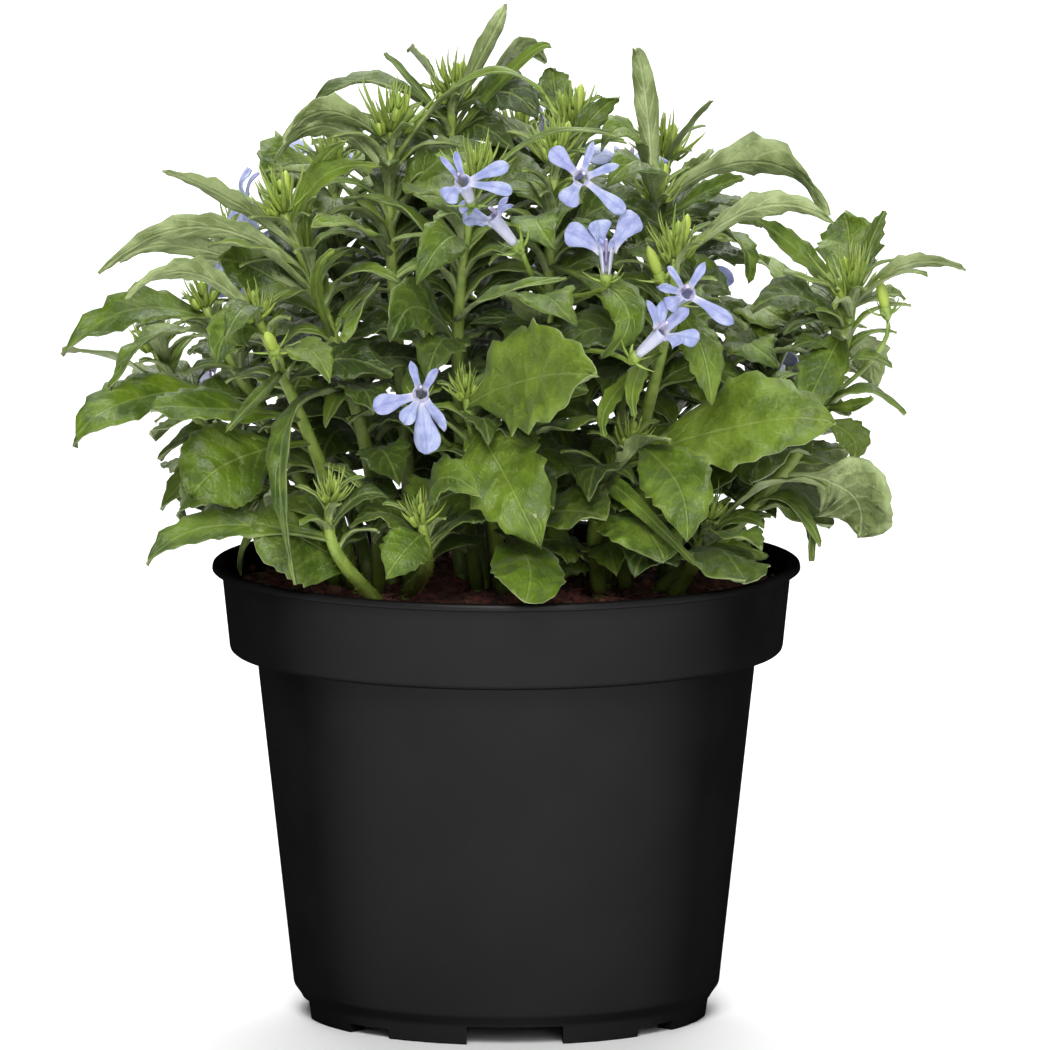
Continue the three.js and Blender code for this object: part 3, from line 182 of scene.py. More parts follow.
STEMS = [
    leafy_stem((-26, -12), (-24, -22, 118), (-36, -26, 146), (-45, -26, 168), 1, 2, 105,
        leaves=(
            (164, "linear", 3.4, (-38, -30, 177), (-32, -34, 183), FRONT),
            (158, "lance", 5, (-38, -30, 174), (-25, -36, 178), SLANT),
            (152, "linear", 2.2, (-40, -30, 166), (-38, -36, 172), FRONT),
            (160, "lance", 4.5, (-56, -30, 171), (-69, -34, 177), UNDER),
            (154, "lance", 6, (-61, -28, 165), (-82, -32, 156), UNDER),
            (150, "lance", 5.5, (-63, -22, 160), (-78, -22, 157), UNDER),
            (142, "linear", 2.4, (-38, -42, 156), (-34, -48, 163), FRONT),
            (146, "broad", 12, (-50, -20, 155), (-58, -22, 157), FRONT),
            (130, "lance", 6.5, (-44, -44, 126), (-42, -54, 96), LEFT),
            (140, "broad", 11, (-29, -34, 150), (-33, -44, 144), FRONT),
        ),
        blooms=(
            (150, (-43, -12, 160), (-46, -9, 166), (-0.8, -0.3, 0.15), (0.15, 0, 1)),
        )),
    leafy_stem((-31, -9), (-34, -26, 112), (-43, -31, 130), (-50, -38, 148), 0.6, 1, 108,
        leaves=(
            (147, "lance", 6, (-63, -46, 158), (-76, -50, 153), UNDER),
            (147, "broad", 7, (-52, -54, 152), (-56, -60, 146), SLANT),
            (136, "linear", 3, (-50, -50, 133), (-56, -56, 127), SLANT),
            (144, "broad", 9, (-55, -42, 146), (-58, -46, 139), FRONT),
            (138, "broad", 8.5, (-40, -50, 143), (-35, -56, 137), SLANT),
            (126, "broad", 10, (-61, -48, 131), (-71, -54, 131), SLANT),
            (121, "round", 18, (-54, -44, 120), (-63, -48, 113), FRONT),
        ),
        buds=(
            (136, (-44, -48, 140), (-46, -54, 143)),
        )),
    leafy_stem((-35, -3), (-38, -8, 112), (-54, -14, 128), (-61, -12, 147), 0.7, 2, 112,
        leaves=(
            (143, "lance", 10, (-75, -12, 146), (-90, -14, 137), SLANT),
            (141, "broad", 11, (-71, -24, 142), (-80, -28, 132), LEFT),
            (128, "broad", 12, (-75, -28, 130), (-87, -34, 121), SLANT),
            (106, "broad", 9, (-62, -2, 108), (-65, 4, 99), LEFT),
            (100, "linear", 3.2, (-50, -8, 101), (-54, -8, 91), LEFT),
        )),
    leafy_stem((-26, -33), (-29, -43, 96), (-38, -47, 101), (-35, -46, 112), 0.55, 1, 99,
        leaves=(
            (104, "lance", 8.5, (-59, -44, 106), (-72, -48, 99), SLANT),
            (93, "round", 20, (-38, -42, 102), (-51, -45, 107), (0, -0.8, 0.6)),
        )),
    leafy_stem((-20, -14), (-14, -44, 98), (-16, -46, 102), (-17, -48, 108), 0.55, 1, 99,
        leaves=(
            (104, "broad", 9, (-13, -52, 117), (-5, -58, 114), SLANT),
            (105, "broad", 10, (-20, -53, 103), (-24, -54, 97), FRONT),
        )),
    leafy_stem((-1, -15), (-2, -30, 108), (-6, -36, 120), (-8, -38, 132), 0.55, 1, 112,
        leaves=(
            (130, "broad", 22, (5, -57, 138), (18, -75, 141), FRONT),
            (127, "broad", 17, (0, -56, 118), (7, -66, 105), FRONT),
            (104, "broad", 13, (13, -42, 109), (20, -52, 109), SLANT),
            (103, "round", 15, (4, -52, 101), (4, -68, 95), SLANT),
        )),
    leafy_stem((-6, -8), (-10, -16, 120), (-12, -34, 148), (-6, -26, 174), 1, 2, 110,
        leaves=(
            (160, "broad", 9.5, (-12, -48, 165), (-18, -58, 157), FRONT),
            (170, "linear", 2.4, (6, -30, 183), (22, -34, 184), UP),
            (146, "linear", 5, (-2, -58, 155), (12, -70, 160), SLANT),
            (140, "broad", 12, (-18, -38, 150), (-23, -46, 144), FRONT),
        ),
        blooms=(
            (118, (-13, -40, 122), (-17, -52, 132), (0, -0.9, 0.42), (0, 0.3, 1)),
            (168, (-9, -48, 172), (-7, -60, 174), (-0.2, -0.75, 0.6), (-0.6, 0.1, 0.8)),
        )),
    leafy_stem((-20, -4), (-18, -6, 120), (-26, -12, 156), (-23, -6, 182), 1.1, 2, 112,
        leaves=(
            (174, "linear", 3.6, (-7, -12, 193), (8, -16, 190), UP),
            (179, "lance", 6.5, (-36, -16, 187), (-45, -22, 181), UNDER),
            (172, "lance", 6, (-36, -8, 183), (-47, -12, 176), UNDER),
            (157, "broad", 9, (-31, -28, 165), (-39, -36, 166), SLANT),
        )),
    leafy_stem((-23, 3), (-26, 12, 118), (-34, 20, 150), (-36, 24, 170), 1, 4, 116,
        blooms=(
            (146, (-44, 14, 150), (-49, 6, 153), (-0.3, -0.85, 0.1), (0.1, 0.1, 1)),
            (140, (-44, 24, 144), (-50, 24, 146), (-0.6, 0, 0.7), (0.4, 0.1, 0.9)),
            (158, (-40, 32, 160), (-39, 35, 164), (0.2, 0.2, 0.95), (0.7, 0, 0.6)),
        )),
    leafy_stem((-5, 1), (-8, 8, 120), (-12, 10, 160), (-11, 8, 187), 0.9, 3, 120,
        leaves=(
            (184, "linear", 4, (-3, 4, 200), (0, 6, 206), UNDER),
            (180, "broad", 8, (1, 20, 194), (8, 24, 192), BACK),
            (178, "linear", 2.8, (3, 0, 195), (9, 0, 198), SLANT),
            (181, "lance", 7, (-27, 8, 190), (-40, 5, 185), UP),
            (180, "linear", 2.5, (-21, 14, 191), (-25, 16, 195), UP),
            (184, "lance", 5, (-17, 16, 193), (-20, 20, 195), BACK),
        )),
    leafy_stem((4, 1), (6, 4, 120), (14, 6, 158), (13, 3, 182), 0.9, 3, 118,
        leaves=(
            (176, "broad", 7, (10, 12, 188), (10, 14, 192), FRONT),
        ),
        blooms=(
            (166, (11, 14, 166), (4, 24, 174), (0.6, 0.1, 0.75), (-0.7, 0.1, 0.6)),
        )),
    leafy_stem((5, -10), (8, -14, 118), (8, -26, 156), (10, -19, 178), 0.9, 1, 112,
        leaves=(
            (156, "broad", 7.5, (24, -59, 153), (19, -63, 143), FRONT),
            (174, "lance", 5.5, (17, -16, 185), (23, -18, 190), FRONT),
            (164, "broad", 10, (6, -40, 168), (10, -50, 163), FRONT),
            (140, "broad", 13, (7, -44, 153), (14, -54, 148), SLANT),
        ),
        blooms=(
            (150, (6, -44, 154), (2, -50, 164), (-0.6, -0.25, 0.75), (0.8, -0.1, 0.5)),
            (170, (12, -34, 177), (15, -46, 176), (0, -0.95, 0.25), (0.65, 0, 0.75)),
            (150, (17, -42, 152), (20, -52, 158), (0, -0.2, 0.97), (0, -1, 0.1)),
            (138, (20, -50, 144), (26, -60, 143), (0.65, -0.3, 0.65), (-0.6, -0.2, 0.75)),
        )),
    leafy_stem((19, -15), (15, -30, 108), (22, -34, 114), (25, -35, 122), 0.55, 2, 98,
        leaves=(
            (122, "broad", 14, (34, -54, 117), (36, -64, 106), FRONT),
            (117, "broad", 20, (48, -44, 127), (66, -50, 128), SLANT),
            (113, "linear", 4, (25, -44, 112), (39, -54, 99), LEFT),
            (94, "broad", 14, (10, -27, 101), (2, -34, 98), SLANT),
        )),
    leafy_stem((20, -1), (20, -6, 118), (30, -10, 148), (30, -10, 168), 0.9, 2, 118,
        leaves=(
            (167, "lance", 10, (51, -8, 176), (65, -12, 165), UNDER),
            (163, "lance", 5, (41, -18, 171), (48, -22, 174), SLANT),
            (168, "linear", 5, (28, -2, 190), (26, -4, 198), UNDER),
            (166, "broad", 9.5, (27, -38, 179), (20, -46, 175), SLANT),
            (168, "broad", 8, (25, -26, 184), (19, -34, 181), SLANT),
        ),
        blooms=(
            (156, (25, 0, 158), (25, 7, 167), (0.05, 0.15, 1), (0.2, 1, 0)),
        )),
    leafy_stem((24, -8), (22, -20, 114), (34, -34, 140), (34, -35, 160), 0.9, 2, 112,
        leaves=(
            (140, "lance", 3.5, (21, -44, 132), (20, -50, 125), FRONT),
            (144, "lance", 4, (26, -50, 137), (26, -56, 130), FRONT),
            (150, "broad", 8, (39, -54, 144), (41, -60, 133), FRONT),
            (158, "lance", 6, (51, -28, 169), (66, -32, 166), UNDER),
        ),
        blooms=(
            (150, (34, -46, 148), (34, -55, 153), (0.25, -0.8, 0.35), (-0.6, 0, 0.75)),
        ),
        buds=(
            (148, (34, -42, 150), (31, -43, 156)),
        )),
    leafy_stem((23, 7), (24, 16, 118), (32, 24, 150), (32, 20, 173), 1, 3, 118,
        leaves=(
            (168, "lance", 3.5, (38, 12, 172), (42, 12, 176), BACK),
            (172, "linear", 2.2, (38, 6, 182), (42, 2, 187), UP),
            (160, "lance", 7, (46, -6, 160), (49, -8, 151), RIGHT),
        )),
    leafy_stem((31, -11), (46, -22, 101), (70, -14, 122), (70, -8, 149), 1.1, 0, 110,
        leaves=(
            (95, "broad", 9, (42, -24, 100), (53, -24, 97), UP),
            (104, "lance", 6.5, (58, -18, 106), (62, -22, 96), RIGHT),
            (113, "round", 20, (69, -15, 110), (72, -13, 99.5), UNDER),
            (126, "linear", 2.6, (71, -22, 128), (74, -26, 130), FRONT),
            (124, "broad", 7, (70, -12, 120), (70, -12, 115), FRONT),
            (143, "broad", 9.5, (64, -22, 135), (59, -32, 125), FRONT),
            (140, "broad", 9, (73, -2, 136), (75, 0, 128), UNDER),
            (146, "lance", 4, (81, -10, 155), (93, -12, 154), UNDER),
            (147, "linear", 2.6, (79, -18, 154), (85, -22, 154), UP),
            (146, "lance", 4.5, (77, -4, 148), (81, -4, 147), UP),
            (148, "linear", 3.2, (62, -14, 152), (56, -16, 154), UP),
            (144, "linear", 2.6, (68, -20, 149), (66, -26, 148), UP),
            (148, "lance", 4, (74, -4, 159), (77, -2, 165), FRONT),
            (146, "broad", 13, (70, 8, 156), (69, 12, 163), FRONT),
            (146, "lance", 6, (59, -4, 157), (50, -8, 164), SLANT),
        ),
        buds=(
            (128, (79, -12, 138), (77, -12, 145)),
        )),
    leafy_stem((34, -17), (38, -26, 96), (40, -28, 100), (41, -28, 106), 0.55, 3, 96),
    leafy_stem((33, 1), (36, 6, 110), (56, 16, 124), (59, 18, 142), 0.7, 3, 104,
        leaves=(
            (138, "broad", 12, (52, 4, 144), (60, -4, 141), SLANT),
            (130, "broad", 11, (49, -20, 140), (55, -30, 137), SLANT),
        ),
        blooms=(
            (120, (49, 20, 122), (50, 25, 126), (0, 0.5, 0.8), (-0.5, 0.3, 0.8)),
        )),
    leafy_stem((-28, 7), (-34, 30, 115), (-52, 38, 135), (-56, 40, 152), 1, 6, 104,
        blooms=(
            (128, (-50, 48, 132), (-50, 52, 138), (-0.2, 0.8, 0.5), (0.5, 0, 0.8)),
        )),
    leafy_stem((-9, 9), (-14, 30, 120), (-22, 42, 145), (-24, 45, 163), 1, 6, 106,
        blooms=(
            (142, (-18, 50, 146), (-17, 54, 150), UNDER, (0, -0.3, 0.9)),
        )),
    leafy_stem((3, 9), (4, 26, 122), (4, 40, 152), (2, 40, 174), 1, 6, 110,
        blooms=(
            (148, (8, 48, 150), (9, 54, 154), (0.1, 0.8, 0.6), (-0.2, -0.5, 0.8)),
        )),
    leafy_stem((25, 14), (22, 36, 116), (30, 50, 138), (32, 52, 154), 1, 6, 104,
        blooms=(
            (132, (36, 56, 136), (36, 61, 141), (0.2, 0.8, 0.5), (-0.3, -0.3, 0.9)),
        )),
    leafy_stem((-3, 16), (-2, 42, 108), (-4, 52, 118), (-6, 55, 134), 0.8, 6, 98,
        blooms=(
            (128, (2, 56, 132), (6, 58, 137), (0.3, 0.3, 0.9), (0, -0.9, 0.3)),
        )),
    leafy_stem((32, 9), (42, 24, 112), (62, 38, 124), (66, 40, 140), 0.9, 6, 102,
        blooms=(
            (118, (54, 46, 118), (54, 50, 122), (0.3, 0.8, 0.4), (-0.4, -0.4, 0.8)),
        )),
    leafy_stem((-34, 5), (-46, 12, 108), (-68, 20, 118), (-72, 22, 134), 0.8, 6, 98,
        blooms=(
            (112, (-60, 30, 116), (-60, 34, 122), (-0.2, 0.8, 0.5), (0.4, -0.3, 0.8)),
        )),
]
print(len(STEMS), "leafy stems,", sum(len(stem["blooms"]) for stem in STEMS), "blooms")

# %% [markdown]
# ## Where everything grows
# A stem is one smooth Bezier curve, and a leaf's midrib is another. A leaf must not cut through its
# neighbours, so room is kept with small balls, called marks: whatever stands in the plant leaves its
# marks, and a new leaf is placed only where its own marks meet nobody else's.


# %% Curves and frames
def vec(*numbers):
    return np.array(numbers, float)


def unit(vector):
    return vector / np.sqrt(np.dot(vector, vector))


def heading(angle):
    """The level direction at an angle."""
    return vec(math.cos(angle), math.sin(angle), 0)


def around(first, second, angle):
    """The direction at an angle from the first of two directions to the second."""
    return first * math.cos(angle) + second * math.sin(angle)


def stem_point(stem, t):
    root, first, second, tip = (vec(*p) for p in stem["handles"])
    u = 1 - t
    return root * u**3 + first * (3 * u * u * t) + second * (3 * u * t * t) + tip * t**3


def stem_at(stem, height):
    """The stem's point at a height, found by halving."""
    low, high = 0.0, 1.0
    for _ in range(24):
        middle = (low + high) / 2
        if stem_point(stem, middle)[2] < height:
            low = middle
        else:
            high = middle
    return stem_point(stem, low)


def stem_radius(t):
    return STEM_FOOT_RADIUS + (STEM_TIP_RADIUS - STEM_FOOT_RADIUS) * t


def head_direction(stem):
    end = unit(vec(*stem["tip"]) - vec(*stem["handles"][2]))
    return unit(end + vec(0, 0, 0.8))


def make_leaf(kind, width, base, middle, tip, face):
    base, middle, tip = vec(*base), vec(*middle), vec(*tip)
    side = unit(np.cross(tip - base, vec(*face)))
    bend = middle * 2 - (base + tip) * 0.5
    return {"kind": kind, "width": width, "base": base, "bend": bend, "tip": tip, "side": side}


def blade_frame(blade, s):
    """The midrib's points at shares s, and the directions across the blade and out of its face."""
    s = np.asarray(s, float)[:, None]
    u = 1 - s
    base, bend, tip = blade["base"], blade["bend"], blade["tip"]
    point = base * u * u + bend * 2 * u * s + tip * s * s
    along = (bend - base) * u + (tip - bend) * s
    along /= np.linalg.norm(along, axis=1, keepdims=True)
    across = blade["side"] - along * (along @ blade["side"])[:, None]
    across /= np.linalg.norm(across, axis=1, keepdims=True)
    return point, across, np.cross(across, along)


def plain_half_width(leaf, s):
    """Half the leaf's width at shares s, without its teeth."""
    stalk, _, outline = KINDS[leaf["kind"]]
    stations = [stalk] + [place for place, _ in outline] + [1]
    shares = [STALK_WIDTH / leaf["width"]] + [share for _, share in outline] + [0]
    return np.interp(s, stations, shares) * leaf["width"] / 2


def bloom_frame(row):
    _, _, calyx, direction, upper = row
    along, upper, calyx = unit(vec(*direction)), vec(*upper), vec(*calyx)
    up = unit(upper - along * np.dot(upper, along))
    mouth = calyx + along * (CALYX_GAP + TUBE_LENGTH)
    return {"calyx": calyx, "along": along, "up": up, "across": np.cross(along, up), "mouth": mouth}


def bloom_lobes(flower):
    lobes = []
    turns = [(UPPER_LOBE, turn * UPPER_LOBE["spread"]) for turn in (-1, 1)]
    turns += [(LOWER_LOBE, 180 + turn * LOWER_LOBE["spread"]) for turn in (-1, 0, 1)]
    for lobe, degrees in turns:
        out = around(flower["up"], flower["across"], math.radians(degrees))
        base = flower["mouth"] - flower["along"] * 1.6
        bend = flower["mouth"] + out * lobe["length"] * 0.45 + flower["along"] * 2.2
        tip = flower["mouth"] + out * lobe["length"] - flower["along"] * lobe["lean"] * 4
        side = np.cross(out, flower["along"])
        lobes.append({"width": lobe["width"], "base": base, "bend": bend, "tip": tip, "side": side})
    return lobes


print("stem 1 is", round(float(stem_point(STEMS[0], 1)[2]), 1), "mm high at its tip")


# %% Room for leaves
MARK_STEP, LEAF_MARK, SAME_STEM_REACH, FAR = 2.4, 1.55, 2, 8
# A mark keeps this far from the peat, and from the rim on its inside, outside and top.
ABOVE_PEAT, INSIDE_RIM, OUTSIDE_RIM, ABOVE_RIM = 1.2, 2.4, 1.4, 1.3
# Past this share of its length a leaf also keeps off the leaves of its own stem.
OUTER_PART = 0.45
room_places, room_sizes, room_owners, room_loose = [], [], [], []


def keep_marks(places, sizes, owner, loose=False):
    places = np.atleast_2d(places)
    room_places.append(places)
    room_sizes.append(np.broadcast_to(np.asarray(sizes, float), len(places)))
    room_owners.extend([owner] * len(places))
    room_loose.extend(np.broadcast_to(loose, len(places)).tolist())


def in_pot(places):
    radius, height = np.hypot(places[:, 0], places[:, 1]), places[:, 2]
    in_peat = (radius < BAND_TOP_RADIUS) & (height < SOIL_TOP + ABOVE_PEAT)
    within = radius < LIP_RADIUS + OUTSIDE_RIM
    near_rim = (radius > LIP_RADIUS - LIP_WIDTH - INSIDE_RIM) & within
    return in_peat | (near_rim & (height < POT_HEIGHT + ABOVE_RIM)) | (within & (height < SOIL_TOP))


def has_room(places, sizes, owner, loose):
    if np.any(in_pot(places)):
        return False
    others = np.concatenate(room_places)
    near = np.all((others > places.min(0) - FAR) & (others < places.max(0) + FAR), axis=1)
    same = np.array([name == owner for name in room_owners]) & near
    strange = near & ~same
    gaps = np.linalg.norm(places[:, None] - others[strange][None], axis=2)
    if np.any(gaps < sizes + np.concatenate(room_sizes)[strange][None]):
        return False
    kin = others[same & np.array(room_loose)]
    gaps = np.linalg.norm(places[loose][:, None] - kin[None], axis=2)
    return not np.any(gaps < SAME_STEM_REACH)


def leaf_marks(leaf):
    """The middles of a leaf's marks, and which of them are on its outer part."""
    base, bend, tip = leaf["base"], leaf["bend"], leaf["tip"]
    length = np.linalg.norm(bend - base) + np.linalg.norm(tip - bend)
    steps = math.ceil(length / MARK_STEP)
    shares = np.arange(1, steps + 1) / steps
    points, across, _ = blade_frame(leaf, shares)
    halves = plain_half_width(leaf, shares)
    places, loose = [], []
    for share, point, side, half in zip(shares, points, across, halves):
        spread = math.ceil(half / MARK_STEP)
        for j in range(-spread, spread + 1):
            places.append(point + side * (half * j / spread if spread else 0))
            loose.append(share > OUTER_PART)
    return np.array(places), np.array(loose)


def settles(leaf, mark, owner, near_kin=True):
    """Whether the leaf finds room; if so its marks are kept. Only a leaf by rule minds its own stem."""
    places, loose = leaf_marks(leaf)
    if not has_room(places, mark, owner, loose & near_kin):
        return False
    keep_marks(places, mark, owner, loose)
    return True


def stalk_marks(start, bend, end):
    s = (np.arange(1, 9) / 8)[:, None]
    return start * (1 - s) ** 2 + vec(*bend) * 2 * s * (1 - s) + vec(*end) * s * s


def draws(seed):
    """A steady stream of numbers between 0 and 1 from a seed."""
    state = seed
    while True:
        state = (state * 1664525 + 1013904223) % 2**32
        yield state / 2**32


print("a mark stands every", MARK_STEP, "mm")

# %% [markdown]
# ## Leaves with a place, and leaves by rule
# The leaves that give the plant its outline have places in the table. One of them may move to or
# from the front by a few millimetres where it would meet a neighbour. The others turn by the golden
# angle up their stem, as real leaves do: broad and nodding below, narrow and raised above.

# %% Place the leaves
# How far a leaf may move to the back, in the order in which the moves are tried. It then rises or
# falls by the slope of the view, so that it keeps its place as seen from the front.
SHIFTS = (0, -3, 3, -6, 6, -9, 9, -12, 12)
FRONT_VIEW_SLOPE = 0.146
GOLDEN_ANGLE = 137.5
TURNS = (0, 24, -24, 48, -48, 75, -75, 105)
WIDTH_SHARES = {"round": 0.6, "broad": 0.42, "lance": 0.26}


def place_named_leaf(stem, row):
    height, kind, width, middle, tip, face = row
    base = stem_at(stem, height)
    for shift in SHIFTS:
        half = vec(0, shift / 2, -shift * FRONT_VIEW_SLOPE / 2)
        leaf = make_leaf(kind, width, base, middle + half, tip + half * 2, face)
        if settles(leaf, LEAF_MARK, stem["owner"], near_kin=False):
            return leaf


def place_filling_leaf(stem, index, draw):
    count, lowest = stem["fill"], stem["fill_from"]
    rise = (index + 0.5) / count
    base = stem_at(stem, lowest + (stem["tip"][2] - 4 - lowest) * rise)
    outward = math.degrees(math.atan2(stem["tip"][1], stem["tip"][0]))
    aside = (index * GOLDEN_ANGLE) % 360 - 180
    kind = "round" if rise < 0.35 else "broad" if rise < 0.75 else "lance"
    length = 27 - 7 * rise + 5 * next(draw)
    lift = -0.3 + 0.75 * rise + 0.3 * next(draw)
    arch = 0.12 + 0.12 * next(draw)
    for turn in TURNS:
        out = heading(math.radians(outward + aside * 0.62 + turn))
        tip = base + out * length + vec(0, 0, lift * length)
        middle = base * 0.5 + tip * 0.5 + vec(0, 0, arch * length)
        face = vec(0, 0, 1) + out * 0.35
        leaf = make_leaf(kind, length * WIDTH_SHARES[kind], base, middle, tip, face)
        if settles(leaf, LEAF_MARK, stem["owner"]):
            return leaf


for number, stem in enumerate(STEMS):
    stem["owner"] = f"stem {number}"
    for step in range(41):
        keep_marks(stem_point(stem, step / 40), stem_radius(step / 40) + 0.8, stem["owner"])
    for share in (0.2, 0.5, 0.85):
        middle = vec(*stem["tip"]) + head_direction(stem) * share * NEEDLE_LENGTH * stem["head"]
        keep_marks(middle, 4.6 * stem["head"], stem["owner"])
for stem in STEMS:
    for index, row in enumerate(stem["blooms"]):
        flower = bloom_frame(row)
        keep_marks(stalk_marks(stem_at(stem, row[0]), row[1], row[2]), 1, stem["owner"])
        bloom_owner = f"{stem['owner']} bloom {index}"
        for i in range(4):
            keep_marks(flower["calyx"] * (1 - i / 3) + flower["mouth"] * (i / 3), 2, bloom_owner)
        for lobe in bloom_lobes(flower):
            keep_marks(blade_frame(lobe, [0.5, 0.75, 1])[0], lobe["width"] / 2 - 0.2, bloom_owner)
    for height, bend, bud in stem["buds"]:
        keep_marks(stalk_marks(stem_at(stem, height), bend, bud), 1, stem["owner"])
        keep_marks(vec(*bud) + vec(0, 0, 3), 3, stem["owner"])
for stem in STEMS:
    stem["grown"] = [place_named_leaf(stem, row) for row in stem["leaves"]]
for number, stem in enumerate(STEMS):
    draw = draws(1000 + number)
    stem["grown"] += [place_filling_leaf(stem, index, draw) for index in range(stem["fill"])]
    stem["grown"] = [leaf for leaf in stem["grown"] if leaf]
print(sum(len(stem["grown"]) for stem in STEMS), "leaves have room")

# %% [markdown]
# A real bush is thick with leaves inside, too many for the plain solids. They take the room that is
# left, and stay inside a dome, so that the plant keeps its outline.

# %% Inner leaves
INNER_LEAVES, INNER_MARK = 40, 0.9
DOME_CENTRE, DOME_REACH = vec(2, 4, 92), vec(78, 58, 92)
INNER_TURNS = (0, 60, -60, 120, -120, 180)
INNER_WIDTHS = {"round": 0.72, "broad": 0.52, "young": 0.3}
PEAT_VIEW = 95.5


def place_inner_leaf(stem, index, draw):
    rise = ((index * 0.618) % 1) * 0.96 + 0.04 * next(draw)
    lowest = SOIL_TOP + 6
    base = stem_at(stem, lowest + (min(stem["tip"][2] - 6, 168) - lowest) * rise)
    size = next(draw)
    if index < 10:
        size = 0.7 + 0.3 * size
    kind = "round" if size > 0.6 and rise < 0.6 else "broad" if size > 0.3 else "young"
    length = 11 + 20 * size * (1 - 0.4 * rise)
    lift = -0.95 + 1.15 * rise + 0.4 * next(draw)
    arch = 0.12 + 0.25 * next(draw)
    for turn in INNER_TURNS:
        out = heading(math.radians(index * GOLDEN_ANGLE + turn))
        tip = base + out * length + vec(0, 0, lift * length)
        middle = base * 0.5 + tip * 0.5 + vec(0, 0, arch * length)
        in_dome = np.linalg.norm((tip - DOME_CENTRE) / DOME_REACH) < 1
        hides_peat = min(p[2] + FRONT_VIEW_SLOPE * p[1] for p in (tip, middle)) < PEAT_VIEW
        if not in_dome or hides_peat:
            continue
        face = vec(0, -0.35, 0.8) + out * 0.7
        shape = "lance" if kind == "young" else kind
        leaf = make_leaf(shape, length * INNER_WIDTHS[kind], base, middle, tip, face)
        if settles(leaf, INNER_MARK, stem["owner"]):
            return {**leaf, "blank": kind}


for number, stem in enumerate(STEMS):
    draw = draws(3000 + number)
    stem["inner"] = [place_inner_leaf(stem, index, draw) for index in range(INNER_LEAVES)]
    stem["inner"] = [leaf for leaf in stem["inner"] if leaf]
print(sum(len(stem["inner"]) for stem in STEMS), "inner leaves")

# %% [markdown]
# Here and there light would still fall straight through the bush, and low down bare stems would
# stand like a fence. A gardener would say that a leaf is missing there. So one grows to each of
# these places, from the nearest stem that has room for it.

# %% Leaves for the thin places
THIN_PLACES = (
    (-34, 4, 118), (14, -4, 125), (-16, -4, 114), (-1, 14, 186), (-6, 2, 181), (-21, 4, 178),
    (-13, 12, 184), (-44, 8, 172), (-35, -4, 167), (-11, -24, 101), (20, -27, 99), (-3, -20, 104),
    (20, -14, 122), (14, -30, 97), (30, -28, 99), (12, -6, 108),
)
THIN_SHIFTS = (0, 5, -5, 10, -10, 16)
NEAREST, FURTHEST, STEMS_TO_TRY = 5, 24, 4


def reach_for(place, shift):
    """Whether a leaf from a near stem can fill a thin place, moved back by the shift."""
    middle = vec(*place) + vec(0, shift, -shift * FRONT_VIEW_SLOPE)
    near = []
    for stem in STEMS:
        if middle[2] - 4 < stem["tip"][2]:
            base = stem_at(stem, middle[2] - 4)
            near.append((float(np.linalg.norm(base - middle)), stem["owner"], stem, base))
    for distance, owner, stem, base in sorted(near, key=lambda row: row[:2])[:STEMS_TO_TRY]:
        if not NEAREST < distance < FURTHEST:
            continue
        out = unit((middle - base) * vec(1, 1, 0))
        tip = middle + out * 8 + vec(0, -2, -4)
        leaf = make_leaf("broad", 6 + distance * 0.45, base, middle + vec(0, 0, 1), tip, (0, -0.8, 0.6))
        if settles(leaf, INNER_MARK, owner):
            stem["inner"].append({**leaf, "blank": "broad"})
            return True
    return False


reached = [any(reach_for(place, shift) for shift in THIN_SHIFTS) for place in THIN_PLACES]
print(sum(reached), "of", len(THIN_PLACES), "thin places have a leaf")

# %% [markdown]
# ## Blanks: one shape, grown many times
# A gardener's plant repeats a few shapes: a blade, a petal, a round shoot. Each could be sculpted by
# hand a few hundred times, but it is far less work to model one blank of each with the mesh
# operators and then to bend copies of it to their places. A blank is measured in shares: x across
# from -1 to 1, y along from 0 to 1, z through the thickness.


# %% Modelling the blanks
def read_blank(thing):
    """Keeps a modelled blank's points and faces as numbers and removes its object."""
    mesh = thing.data
    places = np.empty(len(mesh.vertices) * 3)
    mesh.vertices.foreach_get("co", places)
    faces = [tuple(face.vertices) for face in mesh.polygons]
    bpy.data.objects.remove(thing)
    return places.reshape(-1, 3), faces


def flat_blank(rows, columns):
    """A thin slab of rows and columns: a grid, moved into place, with its thickness from Solidify."""
    deselect_all()
    bpy.ops.mesh.primitive_grid_add(x_subdivisions=columns, y_subdivisions=rows, size=2)
    blank = bpy.context.object
    bpy.ops.object.mode_set(mode="EDIT")
    bpy.ops.transform.resize(value=(1, 0.5, 1), center_override=(0, 0, 0))
    bpy.ops.transform.translate(value=(0, 0.5, 0))
    bpy.ops.object.mode_set(mode="OBJECT")
    wall = blank.modifiers.new("thickness", "SOLIDIFY")
    wall.thickness, wall.offset = 1, 0
    bpy.ops.object.modifier_apply(modifier=wall.name)
    return read_blank(blank)


def round_blank(rings, sides):
    """A round bar along y: a filled circle, extruded ring by ring."""
    deselect_all()
    bpy.ops.mesh.primitive_circle_add(vertices=sides, radius=1, fill_type="NGON")
    blank = bpy.context.object
    bpy.ops.object.mode_set(mode="EDIT")
    bpy.ops.mesh.select_all(action="SELECT")
    for _ in range(rings):
        bpy.ops.mesh.extrude_region_move(TRANSFORM_OT_translate={"value": (0, 0, 1 / rings)})
    bpy.ops.mesh.select_all(action="SELECT")
    bpy.ops.mesh.normals_make_consistent(inside=False)
    bpy.ops.object.mode_set(mode="OBJECT")
    blank.rotation_euler.x = -math.pi / 2
    bpy.ops.object.transform_apply()
    return read_blank(blank)


